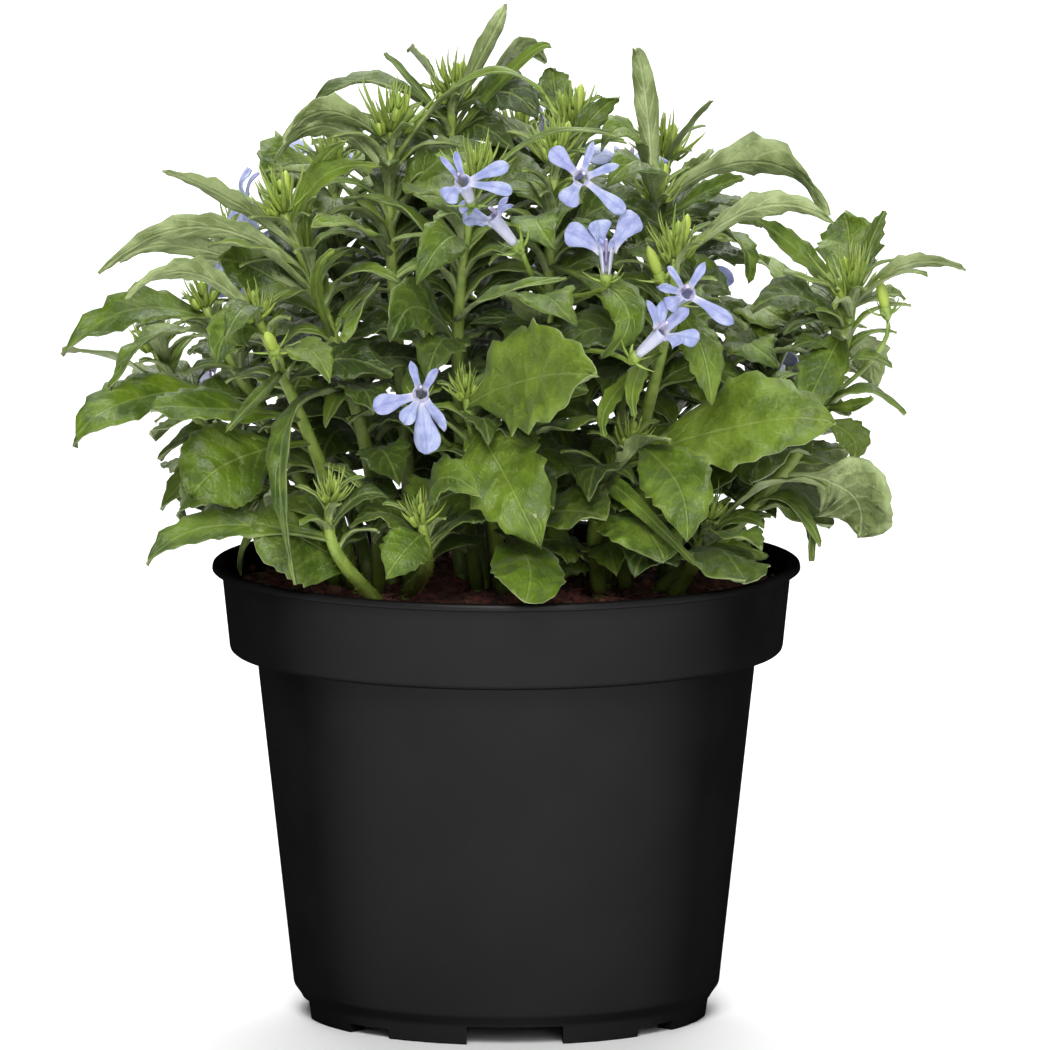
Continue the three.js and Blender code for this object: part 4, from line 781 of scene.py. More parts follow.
TOOTH_STEPS = (0, 0.35, 0.7, 0.86)
BLADES = {
    "round": {"teeth": 7, "columns": 8, "depth": 0.06, "from": 0.3},
    "broad": {"teeth": 6, "columns": 8, "depth": 0.15, "from": 0.22},
    "lance": {"teeth": 5, "columns": 6, "depth": 0.24, "from": 0.2},
    "linear": {"teeth": 4, "columns": 4, "depth": 0.08, "from": 0.3},
    "young": {"teeth": 3, "columns": 4, "depth": 0.14, "from": 0.3},
}
for shape in BLADES.values():
    shape["blank"] = flat_blank(4 + shape["teeth"] * len(TOOTH_STEPS), shape["columns"])
petal_blank = flat_blank(14, 6)
tube_blank = flat_blank(7, 14)
needle_blank = round_blank(6, 5)
stalk_blank = round_blank(8, 6)
stem_blank = round_blank(26, 12)
bud_blank = round_blank(8, 8)
hair_blank = round_blank(1, 3)
fibre_blank = round_blank(5, 4)
print("a round leaf's blank has", len(BLADES["round"]["blank"][1]), "faces")

# %% [markdown]
# ## One mesh for each cluster
# The copies of one stem become one mesh, so that Blender handles a hundred pieces and not ten
# thousand. Each point also carries where it lies on its own blade and a tone of its own, because no
# two leaves on a plant have the same green; the tone also carries painted shade, on the inner leaves
# and at a stem's foot. The materials read both.


# %% The cluster
def claim(thing, node):
    """Says which body a piece rides on, and hides the solid that it stands for."""
    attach(thing, "root")
    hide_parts(node)


class Cluster:
    def __init__(self):
        self.places, self.faces, self.veins, self.tones = [], [], [], []
        self.count = 0

    def add(self, blank_faces, places, veins, tone):
        """One copy: its points, where each lies on its blade, and a tone for all or for each. The
        faces of a copy that came out mirrored, so that its volume is negative, are turned round."""
        corners = [places[[face[i] for face in blank_faces]] for i in range(3)]
        volume = np.einsum("ij,ij->i", corners[0], np.cross(*corners[1:])).sum()
        quads = [face for face in blank_faces if len(face) > 3]
        if quads:
            corners = [places[[face[i] for face in quads]] for i in (0, 2, 3)]
            volume = volume + np.einsum("ij,ij->i", corners[0], np.cross(*corners[1:])).sum()
        turn = -1 if volume < 0 else 1
        self.faces += [tuple(self.count + i for i in face[::turn]) for face in blank_faces]
        self.places.append(places)
        self.veins.append(veins)
        self.tones.append(np.broadcast_to(tone, (len(places), 4)))
        self.count += len(places)

    def finish(self, name, material, slot, node):
        mesh = bpy.data.meshes.new(name)
        mesh.from_pydata((np.concatenate(self.places) * MM).tolist(), [], self.faces)
        vein = ("vein", "FLOAT_VECTOR", "vector", self.veins)
        tone = ("tone", "FLOAT_COLOR", "color", self.tones)
        for label, kind, key, rows in (vein, tone):
            layer = mesh.attributes.new(label, kind, "POINT")
            layer.data.foreach_set(key, np.concatenate(rows).astype(np.float32).ravel())
        mesh.shade_smooth()
        mesh.materials.append(material)
        thing = bpy.data.objects.new(name, mesh)
        bpy.context.scene.collection.objects.link(thing)
        claim(thing, node)


# %% [markdown]
# ## How a blade grows
# A blade copy follows its midrib. Its half width comes from a smooth outline with teeth laid over
# it, and out of its plane it is folded along the midrib, raised and lowered in waves towards the
# edge, and quilted a little between the side veins.

# %% Blade outlines
OUTLINES = {
    "round": (
        (0.2, 0.06), (0.26, 0.3), (0.36, 0.68), (0.48, 0.92), (0.62, 1), (0.76, 0.93), (0.88, 0.7),
        (0.96, 0.38), (1, 0),
    ),
    "broad": (
        (0.1, 0.1), (0.2, 0.42), (0.3, 0.74), (0.44, 1), (0.58, 0.97), (0.7, 0.82), (0.84, 0.5),
        (0.94, 0.2), (1, 0),
    ),
    "lance": ((0.06, 0.2), (0.25, 0.56), (0.5, 1), (0.64, 0.86), (0.79, 0.56), (0.91, 0.24), (1, 0)),
    "linear": ((0.04, 0.4), (0.2, 0.7), (0.4, 1), (0.65, 0.8), (0.85, 0.45), (1, 0)),
    "young": ((0.1, 0.12), (0.3, 0.7), (0.5, 1), (0.7, 0.9), (0.88, 0.5), (1, 0)),
}


def blade_stations(shape):
    """Where a blank's rows go along the blade: four on the stalk, four on each tooth."""
    start = shape["from"]
    step = (1 - start) / shape["teeth"]
    rows = [start * i / 4 for i in range(4)]
    rows += [start + step * (tooth + part) for tooth in range(shape["teeth"]) for part in TOOTH_STEPS]
    return np.array(rows + [1.0])


def smooth_outline(kind, s):
    """The outline as a soft curve through its points."""
    places, shares = (np.array(column, float) for column in zip(*OUTLINES[kind]))
    plain = np.interp(s, places, shares)
    fine = plain
    for shift in (-0.03, 0.03):
        fine = fine + np.interp(np.clip(s + shift, 0, 1), places, shares)
    return np.where(s > 0.97, plain, fine / 3)


def tooth_heights(shape, s, right, draw):
    """How far the edge stands out at shares s: a slow rise and a quick fall on each tooth."""
    start, teeth = shape["from"], shape["teeth"]
    step = (1 - start) / teeth
    phase = np.where(s > start, ((s - start) / step) % 1, 0)
    tooth = np.where(phase < 0.7, phase / 0.7, (1 - phase) / 0.3)
    tooth = np.where((s > start) & (s < 0.995), tooth - 0.45, 0)
    sizes = np.array([[0.35 + 1.3 * next(draw) for _ in range(teeth + 1)] for _ in range(2)])
    number = np.clip((s - start) / step, 0, teeth).astype(int)
    return tooth * sizes[right.astype(int), number]


def turned(across, out, angle):
    """The blade's two cross directions, turned about its midrib."""
    side = across * np.cos(angle)[:, None] + out * np.sin(angle)[:, None]
    return side, out * np.cos(angle)[:, None] - across * np.sin(angle)[:, None]


# A blade's waves as (greatest height, height as a share of the width, beats along the blade).
SLOW_WAVE, QUICK_WAVE, BUCKLE = (1.5, 0.06, 4.6 * math.pi), (0.7, 0.025, 7 * math.pi), (0.8, 0.03, 9)
QUILT_SHARE, QUILT_SLANT = 0.04, 0.22
# How thick a blade is, what its stalk adds, and what the rib adds below and takes away above.
BLADE_THICKNESS, STALK_EXTRA, RIB_BELOW, RIB_ABOVE = 0.34, 0.56, 0.5, -0.12
RIB_REACH = 0.7


def wave_height(wave, width, s, start):
    limit, share, beats = wave
    return min(limit, share * width) * np.sin(beats * s + start)


def grow_leaf(cluster, leaf, draw, blank=None, light=(0.3, 1.0), fresh_and_shade=0.0):
    """light is the range from which the leaf's lightness is drawn; a low lightness paints the leaf
    darker, which on the inner leaves is painted shade. The last argument blends the leaf to a
    saturated green: a young leaf's own colour, and painted shade on the left side.
    """
    blank = blank or leaf["kind"]
    shape = BLADES[blank]
    points, faces = shape["blank"]
    stations = blade_stations(shape)
    row = np.rint(points[:, 1] * (len(stations) - 1)).astype(int)
    s, v, w = stations[row], points[:, 0], points[:, 2]
    stalk, rise, _ = KINDS[leaf["kind"]]
    width, right, edge = leaf["width"], v > 0, np.abs(v)
    thinnest = np.where(s < 0.97, STALK_WIDTH / 2, 0.02)
    half = np.maximum(smooth_outline(blank, s) * width / 2, thinnest)
    tooth = tooth_heights(shape, s, right, draw)
    across_mm = v * half * (1 + shape["depth"] * tooth * edge**3)
    beat = [2 * math.pi * next(draw) for _ in range(6)]
    fold = rise * (0.7 + 0.6 * next(draw))
    wave = wave_height(SLOW_WAVE, width, s, np.where(right, *beat[:2])) * edge**2
    wave += wave_height(QUICK_WAVE, width, s, np.where(right, *beat[2:4])) * edge**3
    wave += wave_height(BUCKLE, width, s, beat[4]) * np.sin(2.4 * v + beat[5])
    swell = 2 * math.pi * (s - QUILT_SLANT * edge) * (shape["teeth"] + 1)
    quilt = QUILT_SHARE * width * np.cos(swell) * edge * (1 - edge) * 4
    blade_share = np.clip((s - stalk) / 0.15, 0, 1)
    lift = fold * np.abs(across_mm) + (wave + quilt) * blade_share
    rib = np.clip(1 - edge * half / RIB_REACH, 0, 1)
    ridge = np.where(w < 0, RIB_BELOW, RIB_ABOVE) * rib * (1 - 0.7 * s)
    thick = BLADE_THICKNESS + STALK_EXTRA * np.clip(1 - s / 0.3, 0, 1) + ridge
    point, across, out = blade_frame(leaf, s)
    side, lid = turned(across, out, (next(draw) - 0.5) * 0.7 * s)
    places = point + side * across_mm[:, None] + lid * (lift + w * thick)[:, None]
    warmth, lightness = next(draw), light[0] + (light[1] - light[0]) * next(draw)
    tones = np.empty((len(places), 4))
    tones[:] = (warmth, lightness, 0, fresh_and_shade)
    tones[:, 2] = w < 0
    cluster.add(faces, places, np.stack([s, v, across_mm], axis=1), tones)


lance = BLADES["lance"]
step = (1 - lance["from"]) / lance["teeth"]
print("a lance leaf 30 mm long has a tooth every", round(30 * step, 1), "mm")

# %% [markdown]
# ## How a round shoot grows
# Stems, flower stalks, needles and buds are round. A copy of the round blank follows a curve, and
# its radius at each share of the length is the shape: a needle tapers to a point, a bud swells.


# %% Round shoots
def curve_points(points, s):
    """Points and directions at shares s of a curve with two, three or four handles."""
    s = np.asarray(s, float)[:, None]
    handles = [vec(*p) for p in points]
    while len(handles) > 2:
        handles = [a * (1 - s) + b * s for a, b in zip(handles, handles[1:])]
    along = (handles[1] - handles[0]) * np.ones_like(s)
    return handles[0] * (1 - s) + handles[1] * s, along / np.linalg.norm(along, axis=1, keepdims=True)


def grow_shoot(cluster, blank, points, radius, tone, flat=1.0, ribs=0.0, foot_shade=((0, 0), (1, 0))):
    """radius is a list of (share of the length, radius); flat squeezes the section. The stem is
    painted darker by share of its length, as the last argument says: painted shade, where the foliage
    above shades a stem's foot."""
    shape, faces = blank
    s = shape[:, 1]
    point, along = curve_points(points, s)
    helper = vec(0, 0, 1) if abs(along[:, 2]).min() < 0.8 else vec(1, 0, 0)
    first = np.cross(along, helper)
    first /= np.linalg.norm(first, axis=1, keepdims=True)
    second = np.cross(along, first)
    angle = np.arctan2(shape[:, 2], shape[:, 0])
    size = np.interp(s, *zip(*radius)) * (1 + ribs * np.cos(5 * angle))
    places = point + first * (shape[:, 0] * size)[:, None]
    places = places + second * (shape[:, 2] * size * flat)[:, None]
    tones = np.empty((len(places), 4))
    tones[:] = (*tone, 0)
    tones[:, 3] = np.interp(s, *zip(*foot_shade))
    cluster.add(faces, places, np.stack([s, angle / math.pi, size], axis=1), tones)


def squares(along):
    """Two directions square to a third and to each other."""
    helper = vec(1, 0, 0) if abs(along[2]) > 0.8 else vec(0, 0, 1)
    first = unit(np.cross(along, helper))
    return first, np.cross(along, first)


print("round shoots have", len(stem_blank[1]), "to", len(hair_blank[1]), "faces")

# %% [markdown]
# ## Finishes
# Every finish is made of nodes, so it has no picture to run out of detail. A few effects serve more
# than one material and are groups: the vein pattern serves leaves and petals, the mottle serves
# everything, and the fine grain serves plastic and stems.


# %% A short way to write nodes
def colour(red, green, blue):
    """A colour as seen on a screen, 0 to 255, in the linear light that the shaders use."""
    screen = (c / 255 for c in (red, green, blue))
    return (*(((c + 0.055) / 1.055) ** 2.4 if c > 10 / 255 else c / 12.92 for c in screen), 1)


class Graph:
    """Each call adds one node to the tree and gives back its output."""

    def __init__(self, tree):
        self.tree = tree

    def feed(self, socket, value):
        if isinstance(value, bpy.types.NodeSocket):
            self.tree.links.new(value, socket)
        else:
            socket.default_value = value

    def add(self, kind, inputs=(), output=0, **settings):
        node = self.tree.nodes.new(kind)
        for name, value in settings.items():
            setattr(node, name, value)
        for name, value in dict(inputs).items():
            self.feed(node.inputs[name], value)
        return node.outputs[output]

    def math(self, operation, *values):
        return self.add("ShaderNodeMath", enumerate(values), operation=operation)

    def blend(self, share, first, second):
        return self.add("ShaderNodeMix", {0: share, 6: first, 7: second}, 2, data_type="RGBA")

    def ease(self, value, low, high, start=0.0, end=1.0):
        """Turns low..high of a value into start..end, softly."""
        sockets = {"Value": value, "From Min": low, "From Max": high, "To Min": start, "To Max": end}
        return self.add("ShaderNodeMapRange", sockets, interpolation_type="SMOOTHSTEP")

    def noise(self, place, scale, detail):
        return self.add("ShaderNodeTexNoise", {"Vector": place, "Scale": scale, "Detail": detail})

    def place(self):
        return self.add("ShaderNodeTexCoord", output="Object")

    def attribute(self, name, output):
        return self.add("ShaderNodeAttribute", output=output, attribute_name=name)

    def bump(self, strength, distance, height):
        sockets = {"Strength": strength, "Distance": distance, "Height": height}
        return self.add("ShaderNodeBump", sockets)

    def parts(self, kind, source):
        """The three parts of a colour or a vector."""
        return self.add(kind, {0: source}).node.outputs

    def tones(self):
        return self.parts("ShaderNodeSeparateColor", self.attribute("tone", "Color"))

    def group(self, tree, **inputs):
        node = self.tree.nodes.new("ShaderNodeGroup")
        node.node_tree = tree
        for name, value in inputs.items():
            self.feed(node.inputs[name], value)
        return node.outputs


def new_group(name, inputs, outputs):
    """An empty group with float inputs, as name and value, and float outputs."""
    tree = bpy.data.node_groups.new(name, "ShaderNodeTree")
    for label, value in inputs.items():
        socket = tree.interface.new_socket(label, in_out="INPUT", socket_type="NodeSocketFloat")
        socket.default_value = value
    for label in outputs:
        tree.interface.new_socket(label, in_out="OUTPUT", socket_type="NodeSocketFloat")
    start = tree.nodes.new("NodeGroupInput").outputs
    return tree, Graph(tree), start, tree.nodes.new("NodeGroupOutput").inputs


def new_material(name):
    material = bpy.data.materials.new(name)
    material.use_nodes = True
    return material, Graph(material.node_tree), material.node_tree.nodes["Principled BSDF"].inputs


print("white is", colour(255, 255, 255))

# %% Groups: veins, mottle and grain
inputs = {"Count": 7, "Slant": 0.24, "Line": 0.1}
blade_veins, g, start, end = new_group("blade_veins", inputs, ["Rib", "Veins", "Margin", "Height"])
place = g.parts("ShaderNodeSeparateXYZ", g.attribute("vein", "Vector"))
across = g.math("ABSOLUTE", place[1])
rib = g.ease(g.math("ABSOLUTE", place[2]), 0.12, 0.42, 1, 0)
slant = g.math("MULTIPLY", g.math("POWER", across, 1.4), start["Slant"])
beat = g.math("MULTIPLY", g.math("SUBTRACT", place[0], slant), start["Count"])
wobble = g.math("MULTIPLY", g.noise(g.attribute("vein", "Vector"), 2.2, 1), 0.5)
swing = g.math("ABSOLUTE", g.math("SUBTRACT", g.math("FRACT", g.math("ADD", beat, wobble)), 0.5))
fading = g.ease(across, 0.55, 0.98, 1, 0.15)
veins = g.math("MULTIPLY", g.ease(swing, 0.0, start["Line"], 1, 0), fading)
g.feed(end["Rib"], rib)
g.feed(end["Veins"], veins)
g.feed(end["Margin"], g.ease(across, 0.96, 1.0, 0, 0.2))
g.feed(end["Height"], g.math("SUBTRACT", 1, g.math("MAXIMUM", rib, g.math("MULTIPLY", veins, 0.4))))

mottle, g, start, end = new_group("mottle", {"Size": 300}, ["Blotch", "Fleck"])
place = g.place()
g.feed(end["Blotch"], g.ease(g.noise(place, start["Size"], 3), 0.36, 0.64))
small = g.math("MULTIPLY", start["Size"], 7)
g.feed(end["Fleck"], g.ease(g.noise(place, small, 2), 0.35, 0.75))

fine_grain, g, start, end = new_group("fine_grain", {"Size": 3000}, ["Height"])
g.feed(end["Height"], g.noise(g.place(), start["Size"], 2))
print("groups", sorted(group.name for group in bpy.data.node_groups))

# %% [markdown]
# A lobelia's leaf is a deep green, matt satin above and paler below, with a pale sunk midrib and
# finer side veins. The underside shows on every leaf that turns away, so one material has both
# faces and chooses by the tone that each point carries. The blade isn't flat either: it swells in
# broad and in finer dimples, which catch the light.

# %% Leaf
leaf_finish, g, bsdf = new_material("leaf_green")
tone = g.tones()
fresh_and_shade = g.attribute("tone", "Alpha")
vein = g.group(blade_veins, Count=7, Slant=0.24, Line=0.16)
spots = g.group(mottle, Size=170)
upper = g.blend(spots["Blotch"], colour(46, 69, 4), colour(93, 116, 31))
upper = g.blend(g.math("MULTIPLY", tone[0], 0.45), upper, colour(108, 130, 30))
upper = g.blend(g.math("MULTIPLY", spots["Fleck"], 0.14), upper, colour(128, 150, 60))
# a low lightness paints the upper face darker: random tone, and painted shade on the inner leaves
upper = g.blend(g.ease(tone[1], 0.0, 0.75, 0.9, 0.0), upper, colour(36, 54, 4))
# saturated green: a young leaf's own colour in the front, painted shade on the left stems' leaves
upper = g.blend(fresh_and_shade, upper, g.blend(spots["Blotch"], colour(56, 78, 0), colour(86, 110, 4)))
veined = g.blend(g.math("MULTIPLY", vein["Veins"], 0.2), upper, colour(126, 148, 54))
veined = g.blend(g.math("MULTIPLY", vein["Rib"], 0.24), veined, colour(142, 162, 80))
veined = g.blend(vein["Margin"], veined, colour(136, 150, 70))
lines = g.math("MULTIPLY", g.math("MAXIMUM", vein["Rib"], vein["Veins"]), 0.4)
lower = g.blend(spots["Blotch"], colour(104, 119, 68), colour(147, 162, 108))
lower = g.blend(lines, lower, colour(170, 182, 126))
# the same for the lower face: random tone, and painted shade on the inner leaves
lower = g.blend(g.ease(tone[1], 0.0, 0.7, 0.6, 0.0), lower, colour(66, 82, 30))
g.feed(bsdf["Base Color"], g.blend(tone[2], veined, lower))
g.feed(bsdf["Roughness"], g.ease(spots["Fleck"], 0, 1, 0.44, 0.58))
relief = g.math("ADD", vein["Height"], g.math("MULTIPLY", spots["Fleck"], 0.25))
relief = g.math("ADD", relief, g.math("MULTIPLY", g.noise(g.place(), 250, 0.4), 3.0))
relief = g.math("ADD", relief, g.math("MULTIPLY", g.noise(g.place(), 110, 0), 7.0))
g.feed(bsdf["Normal"], g.bump(0.6, 0.0004, relief))
bsdf["Specular IOR Level"].default_value = 0.42
bsdf["Sheen Weight"].default_value = 0.09
bsdf["Sheen Roughness"].default_value = 0.45
bsdf["Sheen Tint"].default_value = (0.85, 1, 0.75, 1)
print("leaf nodes", len(leaf_finish.node_tree.nodes))

# %% [markdown]
# Stems, stalks and young needles are a fresher, more yellow green, with a fine grain. A bud's tip
# shows its violet, and a stem's foot is painted darker: painted shade from the foliage above it.

# %% Stem and needle
stem_finish, g, bsdf = new_material("stem_green")
tone = g.tones()
spots = g.group(mottle, Size=400)
green = g.blend(spots["Blotch"], colour(98, 124, 46), colour(132, 154, 74))
green = g.blend(tone[0], green, colour(162, 180, 72))
green = g.blend(g.math("MULTIPLY", tone[2], 0.6), green, colour(110, 66, 60))
green = g.blend(g.ease(tone[1], 0.0, 0.6, 0.3, 0.0), green, colour(72, 100, 30))
# painted shade: a stem's foot is darkened towards a deep green, as the foliage above shades it
painted_foot_shade = g.math("MULTIPLY", g.attribute("tone", "Alpha"), 0.7)
g.feed(bsdf["Base Color"], g.blend(painted_foot_shade, green, colour(62, 80, 20)))
g.feed(bsdf["Roughness"], g.ease(spots["Fleck"], 0, 1, 0.4, 0.55))
g.feed(bsdf["Normal"], g.bump(0.3, 0.0002, g.group(fine_grain, Size=1800)["Height"]))
print("stem nodes", len(stem_finish.node_tree.nodes))

# %% [markdown]
# Petals are pale blue with a breath of violet, whiter at the throat, with faint darker veins. Some
# light goes through them, because a petal is only a few cells thick.

# %% Petal and anther
petal_finish, g, bsdf = new_material("petal_blue")
tone = g.tones()
vein = g.group(blade_veins, Count=5, Slant=-0.6, Line=0.14)
spots = g.group(mottle, Size=500)
lines = g.math("MULTIPLY", g.math("MAXIMUM", vein["Veins"], vein["Rib"]), 0.35)
blue = g.blend(spots["Blotch"], colour(138, 148, 188), colour(164, 173, 204))
blue = g.blend(lines, blue, colour(100, 104, 160))
blue = g.blend(tone[1], blue, colour(128, 120, 178))
blue = g.blend(g.ease(tone[0], 0.0, 0.3, 0.85, 0.0), blue, colour(208, 206, 216))
g.feed(bsdf["Base Color"], g.blend(tone[2], blue, colour(92, 76, 140)))
g.feed(bsdf["Roughness"], g.ease(spots["Fleck"], 0, 1, 0.5, 0.65))
g.feed(bsdf["Normal"], g.bump(0.35, 0.0002, vein["Height"]))
bsdf["Subsurface Weight"].default_value = 0.25
bsdf["Subsurface Radius"].default_value = (0.6, 0.7, 1.0)
bsdf["Subsurface Scale"].default_value = 0.001

anther_finish, g, bsdf = new_material("anther_violet")
spots = g.group(mottle, Size=900)
violet = g.blend(spots["Blotch"], colour(82, 70, 110), colour(116, 98, 146))
g.feed(bsdf["Base Color"], g.blend(g.tones()[0], violet, colour(214, 208, 232)))
g.feed(bsdf["Roughness"], g.ease(spots["Fleck"], 0, 1, 0.45, 0.6))
print("petal nodes", len(petal_finish.node_tree.nodes))

# %% [markdown]
# The pot is near-black moulded plastic with a satin skin. A mould leaves a faint grain and slow
# changes of gloss. The skin's gloss is a coat that shows where the wall faces the eye. Peat is the
# opposite: no gloss at all, and crumbs of reddish brown in every size.

# %% Plastic and peat
pot_finish, g, bsdf = new_material("pot_black")
spots = g.group(mottle, Size=45)
g.feed(bsdf["Base Color"], g.blend(spots["Blotch"], colour(17, 17, 17), colour(20, 20, 20)))
g.feed(bsdf["Roughness"], g.ease(spots["Blotch"], 0, 1, 0.5, 0.58))
facing = g.add("ShaderNodeLayerWeight", {"Blend": 0.5}, 1)
g.feed(bsdf["Coat Weight"], g.ease(facing, 0.0, 0.5, 0.37, 0.0))
bsdf["Coat Roughness"].default_value = 0.42
g.feed(bsdf["Normal"], g.bump(0.12, 0.0002, g.group(fine_grain, Size=2600)["Height"]))
bsdf["Specular IOR Level"].default_value = 0.0

peat_finish, g, bsdf = new_material("peat_brown")
tone = g.tones()
spots = g.group(mottle, Size=850)
brown = g.blend(spots["Blotch"], colour(34, 12, 8), colour(128, 56, 42))
brown = g.blend(g.math("MULTIPLY", spots["Fleck"], 0.5), brown, colour(156, 92, 70))
brown = g.blend(tone[0], brown, colour(128, 88, 62))
g.feed(bsdf["Base Color"], g.blend(tone[1], brown, colour(20, 11, 8)))
g.feed(bsdf["Roughness"], g.ease(spots["Fleck"], 0, 1, 0.85, 0.98))
g.feed(bsdf["Normal"], g.bump(0.8, 0.0008, g.math("ADD", spots["Fleck"], spots["Blotch"])))
print("materials", len(bpy.data.materials))

# %% [markdown]
# ## The pot
# A nursery pot is a thin shell of revolution, so its profile tells it all: foot ring, ledge, tapered
# wall, ledge under the collar band, band, and the lip. A circle is extruded and resized from one
# station of the profile to the next, out and up the outside and back down the inside. Corners of the
# profile are rounded first, because moulded plastic has no sharp one.


# %% The pot's shell
def rounded(corners):
    """A profile whose corners, given as (radius, height, rounding), become small arcs."""
    stations = []
    for before, corner, after in zip(corners[:-2], corners[1:-1], corners[2:]):
        middle, size = vec(*corner[:2]), corner[2]
        back = unit(vec(*before[:2]) - middle) * size
        ahead = unit(vec(*after[:2]) - middle) * size
        for t in (0, 0.33, 0.67, 1) if size > 0 else (0,):
            stations.append(middle + back * (1 - t) ** 2 + ahead * t * t)
    return [corners[0][:2], *map(tuple, stations), corners[-1][:2]]


def turned_shell(name, stations, sides):
    """A closed shell of revolution, from the middle of its floor round to the middle of its floor."""
    deselect_all()
    radius, height = stations[0]
    bpy.ops.mesh.primitive_circle_add(vertices=sides, radius=radius * MM, location=(0, 0, height * MM))
    shell = bpy.context.object
    shell.name = shell.data.name = name
    bpy.ops.object.transform_apply()
    bpy.ops.object.mode_set(mode="EDIT")
    bpy.ops.mesh.select_all(action="SELECT")
    bpy.ops.mesh.edge_face_add()
    for next_radius, next_height in stations[1:]:
        rise = (next_height - height) * MM
        bpy.ops.mesh.extrude_region_move(TRANSFORM_OT_translate={"value": (0, 0, rise)})
        share = next_radius / radius
        bpy.ops.transform.resize(value=(share, share, 1), center_override=(0, 0, next_height * MM))
        radius, height = next_radius, next_height
    bpy.ops.mesh.select_all(action="SELECT")
    bpy.ops.mesh.normals_make_consistent(inside=False)
    bpy.ops.object.mode_set(mode="OBJECT")
    return shell


def finish_shell(shell, material, node):
    shell.data.materials.clear()
    shell.data.materials.append(material)
    claim(shell, node)


def cut_with(shell, cutter):
    cut = shell.modifiers.new("cut", "BOOLEAN")
    cut.operation, cut.object, cut.solver = "DIFFERENCE", cutter, "EXACT"
    bpy.context.view_layer.objects.active = shell
    bpy.ops.object.modifier_apply(modifier=cut.name)
    bpy.data.objects.remove(cutter)


band_foot = POT_HEIGHT - BAND_HEIGHT
lip_foot = POT_HEIGHT - LIP_THICKNESS
floor_top = FLOOR_CLEARANCE + FLOOR_THICKNESS
ledge_top = band_foot + WALL_THICKNESS
pot_profile = rounded([
    (FOOT_RADIUS - FOOT_RING_WIDTH - 0.5, FLOOR_CLEARANCE),
    (FOOT_RADIUS - FOOT_RING_WIDTH, FLOOR_CLEARANCE, 0),
    (FOOT_RADIUS - FOOT_RING_WIDTH, 0, 0.3),
    (FOOT_RADIUS, 0, 0.4),
    (FOOT_TOP_RADIUS, 4, 0.6),
    (WALL_FOOT_RADIUS, LEDGE_HEIGHT, 0.5),
    (WALL_TOP_RADIUS, band_foot, 0.5),
    (BAND_FOOT_RADIUS, band_foot, 1.1),
    (BAND_TOP_RADIUS, lip_foot, 0.5),
    (LIP_RADIUS, lip_foot, 0.45),
    (LIP_RADIUS - 0.2, POT_HEIGHT, 0.6),
    (LIP_RADIUS - LIP_WIDTH, POT_HEIGHT - 0.1, 0.5),
    (LIP_RADIUS - LIP_WIDTH - 0.5, lip_foot, 0.4),
    (BAND_FOOT_RADIUS - WALL_THICKNESS, ledge_top + LEDGE_FALL, 0.4),
    (WALL_TOP_RADIUS - WALL_THICKNESS, ledge_top, 0.4),
    (FOOT_TOP_RADIUS - 0.3, floor_top, 0.8),
    (10, floor_top),
])
POT_SIDES, BED_SIDES, SHARP_EDGE = 160, 150, math.radians(32)
pot = turned_shell("pot_shell", pot_profile, POT_SIDES)
print("the profile has", len(pot_profile), "stations")

# %% [markdown]
# Notches in the foot ring let water run out from under the pot, four wide and four narrow. Boxes cut
# them, and short bars cut the drain holes in the floor.

# %% Notches and drain holes
for i in range(8):
    width, height = NOTCHES[i % 2]
    angle = math.radians(NOTCH_TURN - 90 + i * 45)
    deselect_all()
    bpy.ops.mesh.primitive_cube_add(size=1)
    cutter = bpy.context.object
    cutter.scale = (FOOT_RING_WIDTH * 3 * MM, width * MM, height * 2 * MM)
    cutter.location = (FOOT_RADIUS * MM * math.cos(angle), FOOT_RADIUS * MM * math.sin(angle), 0)
    cutter.rotation_euler.z = angle
    cut_with(pot, cutter)
for i in range(DRAIN_COUNT):
    angle = (i + 0.5) * 2 * math.pi / DRAIN_COUNT
    x, y = DRAIN_CIRCLE * MM * math.cos(angle), DRAIN_CIRCLE * MM * math.sin(angle)
    deselect_all()
    bpy.ops.mesh.primitive_cylinder_add(
        vertices=32, radius=DRAIN_RADIUS * MM, depth=8 * MM, location=(x, y, FLOOR_CLEARANCE * MM))
    cut_with(pot, bpy.context.object)
deselect_all()
pot.select_set(True)
bpy.context.view_layer.objects.active = pot
bpy.ops.object.shade_smooth_by_angle(angle=SHARP_EDGE)
finish_shell(pot, pot_finish, "pot")
print("pot faces", len(pot.data.polygons))

# %% [markdown]
# ## Peat
# The bed is a closed body that fills the pot, with a surface thrown up by noise in three sizes.
# Loose crumbs and fine root fibres lie on it, because a bare noise surface looks like a carpet.


# %% The bed of peat
def peat_height(x, y):
    """How high the bed's surface stands at a place, in millimetres."""
    place = Vector((x, y, 0))
    height = SOIL_TOP + 1.5 * noise.noise(place / 11) + 0.9 * noise.noise(place / 3.4)
    return height + 0.5 * noise.noise(place / 1.3)


